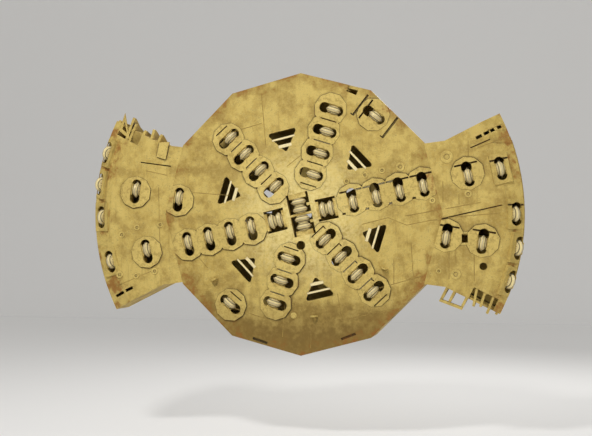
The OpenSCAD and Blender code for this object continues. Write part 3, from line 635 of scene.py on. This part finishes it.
def bead_tree():
    """A tree that lays a rippled bead along the edges of a mesh"""
    tree, given = start_tree("weld beads", ("Bead Radius", "Ripple"))
    add, link = tree.nodes.new, tree.links.new
    line, even = add("GeometryNodeMeshToCurve"), add("GeometryNodeResampleCurve")
    even.mode = "LENGTH"
    link(given["Geometry"], line.inputs[0])
    link(line.outputs[0], even.inputs["Curve"])
    link(given["Ripple"], even.inputs["Length"])
    index, odd = add("GeometryNodeInputIndex"), add("ShaderNodeMath")
    odd.operation = "MODULO"
    odd.inputs[1].default_value = 2.0
    link(index.outputs[0], odd.inputs[0])
    swell = add("ShaderNodeMath")
    swell.operation = "MULTIPLY_ADD"
    swell.inputs[1].default_value = 0.28
    swell.inputs[2].default_value = 0.86
    link(odd.outputs[0], swell.inputs[0])
    width = add("GeometryNodeSetCurveRadius")
    link(even.outputs[0], width.inputs["Curve"])
    link(swell.outputs[0], width.inputs["Radius"])
    section = add("GeometryNodeCurvePrimitiveCircle")
    section.inputs["Resolution"].default_value = 6
    link(given["Bead Radius"], section.inputs["Radius"])
    skin = add("GeometryNodeCurveToMesh")
    skin.inputs["Fill Caps"].default_value = True
    link(width.outputs[0], skin.inputs["Curve"])
    link(section.outputs[0], skin.inputs["Profile Curve"])
    if "Scale" in skin.inputs:
        link(swell.outputs[0], skin.inputs["Scale"])
    return end_tree(tree, skin.outputs[0], given["Finish"])


def grow(name, source, tree, values):
    """Runs a tree on a source mesh and keeps the result as a plain mesh object"""
    made = bpy.data.objects.new(name, source)
    bpy.context.scene.collection.objects.link(made)
    modifier = made.modifiers.new("grow", "NODES")
    modifier.node_group = tree
    for item in tree.interface.items_tree:
        if item.in_out == "INPUT" and item.name in values:
            modifier[item.identifier] = values[item.name]
    seen = made.evaluated_get(bpy.context.evaluated_depsgraph_get())
    mesh = bpy.data.meshes.new_from_object(seen)
    made.modifiers.remove(modifier)
    made.data = mesh
    mesh.name = name
    bpy.data.meshes.remove(source)
    return made


def bolts(name, places, radius, material, body):
    """One piece of hexagon bolts, one at each matrix, its z out of the surface"""
    mesh = bpy.data.meshes.new(name + " points")
    mesh.from_pydata([m.translation for m in places], [], [])
    turn = mesh.attributes.new("turn", "FLOAT_VECTOR", "POINT")
    for item, m in zip(turn.data, places):
        item.vector = m.to_euler("XYZ")
    values = {
        "Head Radius": radius,
        "Head Height": radius * 1.05,
        "Washer Radius": radius * 1.45,
        "Washer Height": radius * 0.22,
        "Finish": material,
    }
    tree = bpy.data.node_groups.get("hexagon bolts") or bolt_tree()
    made = grow(name, mesh, tree, values)
    seat(made, body)


def beads(name, paths, material, body, scale=1.0):
    """One piece of weld beads along open or closed paths"""
    sizes = bpy.context.scene.fastener_sizes
    verts, edges = [], []
    for path in paths:
        first = len(verts)
        verts += path
        edges += [(first + i, first + i + 1) for i in range(len(path) - 1)]
    mesh = bpy.data.meshes.new(name + " paths")
    mesh.from_pydata(verts, edges, [])
    values = {"Bead Radius": sizes.bead * scale, "Ripple": sizes.pitch, "Finish": material}
    tree = bpy.data.node_groups.get("weld beads") or bead_tree()
    made = grow(name, mesh, tree, values)
    seat(made, body)


def ring_places(radius, y, facing, shift=0.5):
    """Matrices of bolts on a circle round the head's axis, made by on_front or facing_back"""
    angles = [2 * math.pi * (i + shift) / RING_BOLTS for i in range(RING_BOLTS)]
    return [facing(radius * math.cos(a), radius * math.sin(a), y) for a in angles]


def spoke(angle):
    """The direction at an angle round the head's axis"""
    return Vector((math.cos(angle), 0, math.sin(angle)))


def ring_path(radius, y, count=96):
    """A closed path round the head's axis"""
    return [Vector((x, y, z)) for x, z in arc(radius, 0, 360, count)]


# Operators


def give(names, material):
    """Sets the material of CAD nodes"""
    for name in names:
        mesh = frame["nodes"][name].data
        if not mesh.materials:
            mesh.materials.append(material)
        for i in range(len(mesh.materials)):
            mesh.materials[i] = material


class CUTTERHEAD_OT_paint(bpy.types.Operator):
    """Paints the plates of the centre body, the wings and the drum"""

    bl_idname = "cutterhead.paint"
    bl_label = "Paint the plates"

    def execute(self, context):
        face = plate_paint("face paint", 0.4, 0.4, 0.3, glow=1.0, low=0.9, front="bars", rim=4.1)
        give(["centre_face"], face)
        give(["wing_right_face"], plate_paint("right wing paint", 0.45, 0.4, 0.3, front="pads", rim=6.6))
        give(["wing_left_face"], plate_paint("left wing paint", 0.55, 0.35, 0.4, front="pads", rim=6.3))
        give(["wing_right_fingers", "wing_left_fingers"], plate_paint("finger paint", 0.5, 0.55, 0.5))
        give(["gauge_boxes"], plate_paint("rim box paint", 0.6, 0.45, 0.35, corner=0.12))
        give(["centre_walls"], plate_paint("wall paint", 0.3, 0.65, 0.5, deep="centre"))
        give(["wing_right_box", "wing_left_box"], plate_paint("wing wall paint", 0.3, 0.65, 0.5))
        give(["centre_housings"], plate_paint("housing paint", 0.3, 0.7, 0.45, deep="all"))
        give(["centre_back"], plate_paint("rear plate paint", 0.3, 0.5, 0.3))
        give(["drum"], plate_paint("drum paint", 0.3, 0.5, 0.3))
        return {"FINISHED"}


class CUTTERHEAD_OT_cutters(bpy.types.Operator):
    """Gives the disc cutters and their axles their steel"""

    bl_idname = "cutterhead.cutters"
    bl_label = "Finish the disc cutters"

    def execute(self, context):
        for body, joint in DISCS.items():
            node = body.replace("disc_", "cutter_")
            give([node], ring_steel(node.replace("_", " ") + " steel", joint["pos_m"], joint["axis"]))
        give(["centre_axles", "wing_axles"], saddle_steel("saddle steel"))
        return {"FINISHED"}


class CUTTERHEAD_OT_bearing(bpy.types.Operator):
    """Gives the main bearing its turned steel"""

    bl_idname = "cutterhead.bearing"
    bl_label = "Finish the main bearing"

    def execute(self, context):
        give(["bearing_ring", "bearing_cap", "turning_ring"], turned_steel("turned steel"))
        return {"FINISHED"}


class CUTTERHEAD_OT_bearing_bolts(bpy.types.Operator):
    """Sets the clamping screws of the bearing's cap"""

    bl_idname = "cutterhead.bearing_bolts"
    bl_label = "Set the bearing's bolts"

    def execute(self, context):
        size = context.scene.fastener_sizes
        places = ring_places(BEARING_R - 0.15, BEARING_FRONT, on_front)
        steel = bolt_steel("bearing bolt steel")
        bolts("bearing_bolt_heads", places, size.large * 0.8, steel, "bearing")
        return {"FINISHED"}


class CUTTERHEAD_OT_drum_bolts(bpy.types.Operator):
    """Sets the bolts of the drum's rear flange and of the turning ring"""

    bl_idname = "cutterhead.drum_bolts"
    bl_label = "Set the drum's bolts"

    def execute(self, context):
        size = context.scene.fastener_sizes
        steel = bolt_steel("drum bolt steel")
        circle = DRUM_R - 0.055
        front = ring_places(circle, DRUM_REAR - FLANGE_T, on_front)
        rear = ring_places(circle, DRUM_FRONT + FLANGE_T, facing_back)
        inner = ring_places(TURNING_R - 0.35, TURNING_FACE, facing_back, shift=0)
        bolts("drum_bolt_heads", front + rear + inner, size.large * 0.75, steel, "head")
        return {"FINISHED"}


class CUTTERHEAD_OT_covers(bpy.types.Operator):
    """Makes the inspection covers on the rear plates, with their bolts"""

    bl_idname = "cutterhead.covers"
    bl_label = "Make the rear covers"

    def execute(self, context):
        paint = plate_paint("cover paint", 0.35, 0.4, 0.4, corner=0.08)
        spots = []

        def round_cover(bm, place):
            lathe(bm, [(0, 0), (0.40, 0), (0.40, 0.022), (0.388, 0.032), (0, 0.032)], place, 48)
            spots.extend(place @ Matrix.Translation((x, y, 0.032)) for x, y in arc(0.345, 0, 337.5, 15))
            slab(bm, rectangle(0.12, 0.02), place @ Matrix.Translation((0, 0, 0.075)), 0.02)
            for x in (-0.11, 0.11):
                post = place @ Matrix.Translation((x, 0, 0.03))
                lathe(bm, [(0, 0), (0.012, 0), (0.012, 0.05), (0, 0.05)], post, 10)

        def square_cover(bm, place):
            slab(bm, rounded(0.36, 0.24, 0.06), place, 0.028, 0.008)
            long_sides = [(x, y) for x in (-0.36, -0.18, 0, 0.18, 0.36) for y in (-0.245, 0.245)]
            short_sides = [(x, y) for x in (-0.365, 0.365) for y in (-0.08, 0.08)]
            for x, y in long_sides + short_sides:
                spots.append(place @ Matrix.Translation((x, y, 0.028)))

        def build(bm):
            for i in range(6):
                a = math.radians(42.5 + 60 * i)
                round_cover(bm, facing_back(3.55 * math.cos(a), 3.55 * math.sin(a), REAR_PLATE))
            for side in (-1, 1):
                for z in (-1.35, 1.35):
                    square_cover(bm, facing_back(side * 5.75, z, REAR_PLATE))

        made = new_piece("rear_covers", build, paint)
        seat(made, "head")
        size = context.scene.fastener_sizes
        bolts("cover_bolt_heads", spots, size.small, bolt_steel("cover bolt steel"), "head")
        return {"FINISHED"}


def cutter_frame(joint):
    """A cutter's centre and the directions of its axle, along its slot and out of the face"""
    centre, axis = Vector(joint["pos_m"]), Vector(joint["axis"])
    across = axis.cross(Vector((0, 1, 0))).normalized()
    out = across.cross(axis).normalized()
    return centre, axis, across, out if out.y < 0 else -out


class CUTTERHEAD_OT_retainers(bpy.types.Operator):
    """Makes the retaining bars on the saddles, at both sides of each disc in its slot"""

    bl_idname = "cutterhead.retainers"
    bl_label = "Make the retaining bars"

    def execute(self, context):
        def build(bm):
            width, reach, slant = 0.0155, 0.2, 0.02
            outline = [(-width, -reach), (width, slant - reach), (width, reach - slant), (-width, reach)]
            for body, joint in DISCS.items():
                if body.startswith("disc_t"):
                    continue
                centre, axis, _, out = cutter_frame(joint)
                for side in (-1, 1):
                    basis = Matrix((axis * side, out.cross(axis * side), out)).transposed().to_4x4()
                    place = Matrix.Translation(centre + axis * side * 0.1475 + out * 0.034) @ basis
                    slab(bm, outline, place, 0.05, 0.006)

        paint = plate_paint("retainer paint", 0.9, 0.3, 0.3, corner=0.03)
        made = new_piece("retaining_bars", build, paint)
        seat(made, "head")
        return {"FINISHED"}


class CUTTERHEAD_OT_saddle_bolts(bpy.types.Operator):
    """Sets the bolts that clamp the axles in their saddles, and the disc rings' lock screws"""

    bl_idname = "cutterhead.saddle_bolts"
    bl_label = "Set the cutters' bolts"

    def execute(self, context):
        size = context.scene.fastener_sizes
        steel = bolt_steel("saddle bolt steel")
        places = []
        for body, joint in DISCS.items():
            centre, axis, across, out = cutter_frame(joint)
            basis = Matrix((axis, out.cross(axis), out)).transposed().to_4x4()
            end, foot, half = (0.288, 0.22, 0.24) if body.startswith("disc_t") else (0.165, 0.065, 0.125)
            for x in (-end, end):
                for y in (-foot, foot):
                    place = Matrix.Translation(centre + axis * x + across * y - out * 0.1)
                    places.append(place @ basis @ Matrix.Rotation(math.pi, 4, "X"))
            rim = []
            for side in (-1, 1):
                for i in range(8):
                    a = math.pi * (i + 0.5) / 4
                    arm = across * math.cos(a) + out * math.sin(a)
                    spin = Matrix((axis.cross(arm), arm, axis * side)).transposed().to_4x4()
                    rim.append(Matrix.Translation(centre + arm * 0.1 + axis * side * half) @ spin)
            bolts(body.replace("disc", "lock_screws"), rim, 0.011, steel, body)
        bolts("saddle_bolt_heads", places, size.small, steel, "head")
        return {"FINISHED"}


# Bosses on the face: x, y and radius
BOSSES = [
    (4.67, 1.79, 0.20), (3.21, 1.49, 0.14), (2.63, 1.38, 0.10), (2.08, 1.24, 0.10),
    (1.49, 1.05, 0.10), (4.22, 0.42, 0.10), (5.34, 0.62, 0.12), (-6.12, -1.98, 0.12),
    (-5.55, -2.02, 0.10), (-6.05, -0.66, 0.11), (-4.72, -0.33, 0.10), (-5.52, -0.42, 0.10),
    (-4.91, -1.86, 0.11), (4.95, -1.90, 0.16), (4.42, -1.80, 0.09),
]

# Lifting lugs on the face: x, y and turn
LUGS = [(-2.86, -2.12, 0.5), (2.70, -1.73, -0.4), (0.43, -3.27, 0.1)]

# Weld seams on the face, each a path of x and y
FACE_SEAMS = [
    [(1.99, -0.33), (2.82, -0.12), (3.41, -0.36), (4.15, -0.21), (4.38, -0.19)],
    [(3.36, -0.07), (4.38, 0.11)], [(4.62, 0.15), (5.71, 0.35)],
    [(5.34, 2.30), (5.34, 1.79)], [(4.72, -0.12), (6.35, 0.02)], [(4.95, -1.05), (4.95, -1.62)],
    [(5.52, -1.28), (5.52, -2.12)], [(4.74, -0.62), (4.74, -2.05)], [(4.55, 1.02), (4.55, 0.36)],
    [(5.05, 0.62), (5.05, 0.28)], [(5.95, 2.62), (6.42, 2.80)], [(5.62, 2.05), (6.62, 2.42)],
    [(2.55, -2.35), (3.95, -1.95)], [(3.0, -1.45), (3.0, -2.22)], [(3.55, -0.95), (3.62, -2.05)],
    [(1.2, -2.55), (1.32, -3.4)], [(1.32, -3.4), (3.2, -2.95)], [(-0.52, -2.92), (-0.6, -3.95)],
    [(-2.2, -3.05), (-0.62, -3.55)], [(0.35, -3.62), (0.32, -4.3)], [(-1.15, 2.15), (-1.3, 3.9)],
    [(-2.75, 2.55), (-1.3, 2.95)], [(-0.45, 1.55), (0.2, 2.05)], [(-3.9, 0.75), (-2.35, 0.62)],
    [(-4.1, -0.6), (-3.1, -1.75)], [(-6.55, 1.45), (-6.72, -0.35)], [(-5.2, 1.45), (-4.5, 1.3)],
    [(-6.2, -2.35), (-4.75, -1.75)], [(-4.78, 0.9), (-4.72, -1.2)],
]


class CUTTERHEAD_OT_bosses(bpy.types.Operator):
    """Makes the ring bosses and plugs on the face"""

    bl_idname = "cutterhead.bosses"
    bl_label = "Make the bosses"

    def execute(self, context):
        def build(bm):
            for x, y, r in BOSSES:
                ring = [(0, 0.004), (r * 0.42, 0.004), (r * 0.46, 0.02)]
                ring += [(r * 0.72, 0.026), (r, 0.018), (r, -0.01)]
                lathe(bm, ring, on_front(x, y, FACE_FRONT), 36)
            plug = [(0, 0.05), (0.07, 0.05), (0.1, 0.03), (0.1, -0.01)]
            lathe(bm, plug, on_front(-0.23, -3.26, FACE_FRONT), 36)

        made = new_piece("face_bosses", build, plate_paint("boss paint", 0.8, 0.3, 0.35, corner=0.06))
        seat(made, "head")
        return {"FINISHED"}


class CUTTERHEAD_OT_lugs(bpy.types.Operator):
    """Makes the lifting lugs on the face"""

    bl_idname = "cutterhead.lugs"
    bl_label = "Make the lifting lugs"

    def execute(self, context):
        def build(bm):
            hole = arc(0.045, 0, 360, 24, (0, 0.085))[:-1]
            foot = [(x, -0.01) for x in (-0.13, -0.065, 0, 0.065, 0.13)]
            outer = arc(0.1, 0, 180, 12, (0, 0.085)) + foot
            for x, y, turn in LUGS:
                place = on_front(x, y, FACE_FRONT, turn) @ Matrix.Rotation(math.pi / 2, 4, "X")
                place = place @ Matrix.Translation((0, 0, -0.025))
                walls = []
                for z in (0, 0.05):
                    walls.append([bm.verts.new(place @ Vector((px, py, z))) for px, py in outer])
                    walls.append([bm.verts.new(place @ Vector((px, py, z))) for px, py in hole])
                for low, high in ((walls[0], walls[2]), (walls[1], walls[3])):
                    n = len(low)
                    for i in range(n):
                        bm.faces.new([low[i], low[(i + 1) % n], high[(i + 1) % n], high[i]])
                for pair in (walls[:2], walls[2:]):
                    loops = []
                    for w in pair:
                        loops += [bm.edges.get((w[i], w[(i + 1) % len(w)])) for i in range(len(w))]
                    bmesh.ops.triangle_fill(bm, use_beauty=True, edges=loops)

        made = new_piece("lifting_lugs", build, plate_paint("lug paint", 0.7, 0.4, 0.5, corner=0.05))
        seat(made, "head")
        return {"FINISHED"}


def wing_angle(side, degrees):
    """The angle round the head's axis of a place that's given from a wing's middle"""
    return math.radians(degrees) + (math.pi if side < 0 else 0.0)


def wing_rim(side, degrees, y):
    """A point on a wing's rim, at an angle from the wing's middle"""
    a = wing_angle(side, degrees)
    return Vector((RIM_R * math.cos(a), y, RIM_R * math.sin(a)))


def rear_seams():
    """Weld seams of the rear plate, the side walls and the wings' rims"""
    paths = [ring_path(INNER_RIB_R, REAR_PLATE, 120)]
    flat = CAD_BOX[1].z * math.cos(math.pi / 12)
    back = Vector((0, REAR_PLATE, 0))
    for i in range(12):
        along = spoke(math.radians(30 * i))
        paths.append([along * INNER_RIB_R + back, along * (flat - 0.08) + back])
    for side in (-1, 1):
        for y in (FACE_REAR + 0.2, REAR_PLATE - 0.1):
            paths.append([wing_rim(side, -20 + 2 * k, y) for k in range(21)])
        for z in (-0.9, 0.0, 0.9):
            paths.append([Vector((side * x, REAR_PLATE, z)) for x in (4.62, 5.2, 6.2, 6.85)])
        paths.append([Vector((side * 5.2, REAR_PLATE, z)) for z in (-1.9, -0.9, 0.0, 0.9, 1.9)])
    return paths


class CUTTERHEAD_OT_wear_bars(bpy.types.Operator):
    """Makes the wear bars that are welded on the wings' rims"""

    bl_idname = "cutterhead.wear_bars"
    bl_label = "Make the rim's wear bars"

    def execute(self, context):
        def build(bm):
            for side in (-1, 1):
                for y, first, count in ((-1.9, -17.6, 9), (-1.55, -15.4, 8), (-1.2, -17.6, 9)):
                    for k in range(count):
                        out = spoke(wing_angle(side, first + 4.4 * k))
                        along = Vector((-out.z, 0, out.x))
                        basis = Matrix((along, out.cross(along), out)).transposed().to_4x4()
                        place = Matrix.Translation(out * (RIM_R - 0.006) + Vector((0, y, 0))) @ basis
                        slab(bm, rectangle(0.18, 0.05), place, 0.03, 0.008)

        paint = plate_paint("wear bar paint", 0.35, 0.6, 0.8, corner=0.05)
        made = new_piece("rim_wear_bars", build, paint)
        seat(made, "head")
        return {"FINISHED"}


class CUTTERHEAD_OT_welds(bpy.types.Operator):
    """Lays the weld beads of the drum, the bosses, the face's seams and the rear seams"""

    bl_idname = "cutterhead.welds"
    bl_label = "Lay the weld beads"

    def execute(self, context):
        metal = bead_metal("weld metal")
        wall = DRUM_R - 0.17
        paths = [
            ring_path(wall, DRUM_FRONT + FLANGE_T),
            ring_path(wall, DRUM_REAR - FLANGE_T),
            ring_path(DRUM_R, DRUM_FRONT + 0.002),
            ring_path(TURNING_R - 0.13, DRUM_REAR),
        ]
        front, rear = Vector((0, DRUM_FRONT + 0.08, 0)), Vector((0, DRUM_REAR - 0.08, 0))
        for i in range(24):
            along = spoke(math.radians(15 * i))
            side = Vector((-along.z, 0, along.x))
            for s in (-0.025, 0.025):
                foot = along * wall + side * s
                paths.append([foot + front, foot + rear])
        beads("drum_weld_beads", paths, metal, "head")
        seams = FACE_SEAMS + [arc(r, 0, 360, 24, (x, y)) for x, y, r in BOSSES]
        seams = [[face_point(x, y) for x, y in path] for path in seams]
        beads("face_weld_beads", seams, metal, "head", 0.75)
        beads("rear_weld_beads", rear_seams(), metal, "head", 1.1)
        return {"FINISHED"}


# Lamps: name, place, size in metres and power in watts
LAMPS = [
    ("key", (-7.0, -27.0, 24.0), 5.0, 8600.0),
    ("fill", (18.0, -26.0, 3.0), 12.0, 1700.0),
    ("rear", (6.0, 17.0, 14.0), 8.0, 4200.0),
]
# Strength of the sky as a light, and what's added where the camera sees it
SKY_LIGHT, SKY_SEEN = 0.26, 0.22
PICTURE_WIDTH = 592
SENSOR_WIDTH = 36
# How far the middle of the face lies from the middle of the photo, in pixels
FACE_RIGHT, FACE_UP = 4.8, 3.8


def floor_paint(colour):
    """Matt floor that glows a little for the camera, so that it stays pale, and keeps the shadow"""
    m = Maker("studio floor")
    path = m.node("ShaderNodeLightPath")
    seen = Value(m, path.outputs["Is Camera Ray"])
    seen = seen.math("MAXIMUM", Value(m, path.outputs["Is Glossy Ray"]))
    seen = seen.math("MAXIMUM", Value(m, path.outputs["Is Transmission Ray"]))
    matt = m.node("ShaderNodeBsdfDiffuse", None, {"Color": (*colour, 1)})
    bright = m.node("ShaderNodeEmission", None, {"Color": (*colour, 1), "Strength": 1.0})
    mixed = m.node("ShaderNodeMixShader", None, {0: seen * 0.4})
    m.tree.links.new(matt.outputs[0], mixed.inputs[1])
    m.tree.links.new(bright.outputs[0], mixed.inputs[2])
    m.tree.links.new(mixed.outputs[0], m.node("ShaderNodeOutputMaterial").inputs[0])
    return m.material


def lay_floor(look):
    """Lays a floor clear of the wings when the head turns, curved up to a backdrop behind it"""
    low = -max(CAD_BOX[1].x, -CAD_BOX[0].x) - look.floor_gap
    half, bend, start = 120.0, 12.0, 50.0
    profile = [(-half, low), (start, low)]
    profile += [(y, z + low + bend) for y, z in arc(bend, -90, 0, 16, (start, 0.0))]
    profile.append((start + bend, low + 90))

    def build(bm):
        sides = [[bm.verts.new((x, y, z)) for y, z in profile] for x in (-half, half)]
        for i in range(len(profile) - 1):
            bm.faces.new([sides[0][i], sides[1][i], sides[1][i + 1], sides[0][i + 1]])

    sweep = new_piece("studio_floor", build, floor_paint(look.floor))
    for polygon in sweep.data.polygons:
        polygon.use_smooth = True


def light_sky():
    """A sky that lights softly and looks to the camera as pale as the far floor"""
    world = bpy.data.worlds.new("studio")
    world.use_nodes = True
    tree = world.node_tree
    sky = tree.nodes["Background"]
    path = tree.nodes.new("ShaderNodeLightPath")
    level = tree.nodes.new("ShaderNodeMath")
    level.operation = "MULTIPLY_ADD"
    level.inputs[1].default_value = SKY_SEEN
    level.inputs[2].default_value = SKY_LIGHT
    tree.links.new(path.outputs["Is Camera Ray"], level.inputs[0])
    tree.links.new(level.outputs[0], sky.inputs[1])
    sky.inputs[0].default_value = (1.0, 0.985, 0.96, 1)
    return world


def hang_lamp(name, place, size, power):
    """Hangs a square lamp that points at the middle of the head"""
    lamp = bpy.data.lights.new(name, "AREA")
    lamp.size = size
    lamp.energy = power
    made = bpy.data.objects.new(name, lamp)
    made.location = place
    middle = Vector((0, FACE_REAR, 0))
    made.rotation_euler = (middle - Vector(place)).to_track_quat("-Z", "Y").to_euler()
    bpy.context.scene.collection.objects.link(made)


def set_camera(look):
    """Sets the camera at the photo's angle, aimed so that the head lies where the photo has it"""
    a, e = look.azimuth, look.elevation
    centre = face_point(0, 0)
    right = Vector((math.cos(a), math.sin(a), 0))
    out = Vector((math.sin(a) * math.cos(e), -math.cos(a) * math.cos(e), math.sin(e)))
    up = right.cross(-out).normalized()
    pixel = look.distance / (look.lens / SENSOR_WIDTH * PICTURE_WIDTH)
    aim = centre - right * FACE_RIGHT * pixel - up * FACE_UP * pixel
    camera = bpy.data.cameras.new("camera")
    camera.lens = look.lens
    camera.clip_end = 500
    made = bpy.data.objects.new("camera", camera)
    made.location = centre + out * look.distance
    made.rotation_euler = (aim - made.location).to_track_quat("-Z", "Y").to_euler()
    bpy.context.scene.collection.objects.link(made)
    return made


class CUTTERHEAD_OT_stage(bpy.types.Operator):
    """Sets up the floor, the backdrop, the lamps and the camera"""

    bl_idname = "cutterhead.stage"
    bl_label = "Set up the studio"

    def execute(self, context):
        scene = context.scene
        look = scene.studio
        scene.view_settings.view_transform = "Standard"
        lay_floor(look)
        scene.world = light_sky()
        for lamp in LAMPS:
            hang_lamp(*lamp)
        scene.camera = set_camera(look)
        return {"FINISHED"}


class CUTTERHEAD_PT_panel(bpy.types.Panel):
    """Lists the steps that dress the cutterhead"""

    bl_label = "Cutterhead"
    bl_idname = "CUTTERHEAD_PT_panel"
    bl_space_type = "VIEW_3D"
    bl_region_type = "UI"
    bl_category = "Cutterhead"

    def draw(self, context):
        for name in ("paint_colours", "steel_colours", "fastener_sizes", "studio"):
            group = getattr(context.scene, name)
            for key in group.__annotations__:
                self.layout.prop(group, key)
        for step in STEPS:
            self.layout.operator(step.bl_idname)


GROUPS = {
    "paint_colours": PaintColours,
    "steel_colours": SteelColours,
    "fastener_sizes": FastenerSizes,
    "studio": StudioSettings,
}
STEPS = [
    CUTTERHEAD_OT_stage,
    CUTTERHEAD_OT_paint,
    CUTTERHEAD_OT_cutters,
    CUTTERHEAD_OT_bearing,
    CUTTERHEAD_OT_bearing_bolts,
    CUTTERHEAD_OT_drum_bolts,
    CUTTERHEAD_OT_covers,
    CUTTERHEAD_OT_retainers,
    CUTTERHEAD_OT_saddle_bolts,
    CUTTERHEAD_OT_bosses,
    CUTTERHEAD_OT_lugs,
    CUTTERHEAD_OT_wear_bars,
    CUTTERHEAD_OT_welds,
]


def register():
    for group in GROUPS.values():
        bpy.utils.register_class(group)
    for step in [*STEPS, CUTTERHEAD_PT_panel]:
        bpy.utils.register_class(step)
    for name, group in GROUPS.items():
        setattr(bpy.types.Scene, name, bpy.props.PointerProperty(type=group))


def unregister():
    for name in GROUPS:
        delattr(bpy.types.Scene, name)
    for step in [CUTTERHEAD_PT_panel, *reversed(STEPS)]:
        bpy.utils.unregister_class(step)
    for group in reversed(list(GROUPS.values())):
        bpy.utils.unregister_class(group)


def main():
    register()
    for step in STEPS:
        family, name = step.bl_idname.split(".")
        getattr(getattr(bpy.ops, family), name)()


if __name__ == "__main__":
    main()
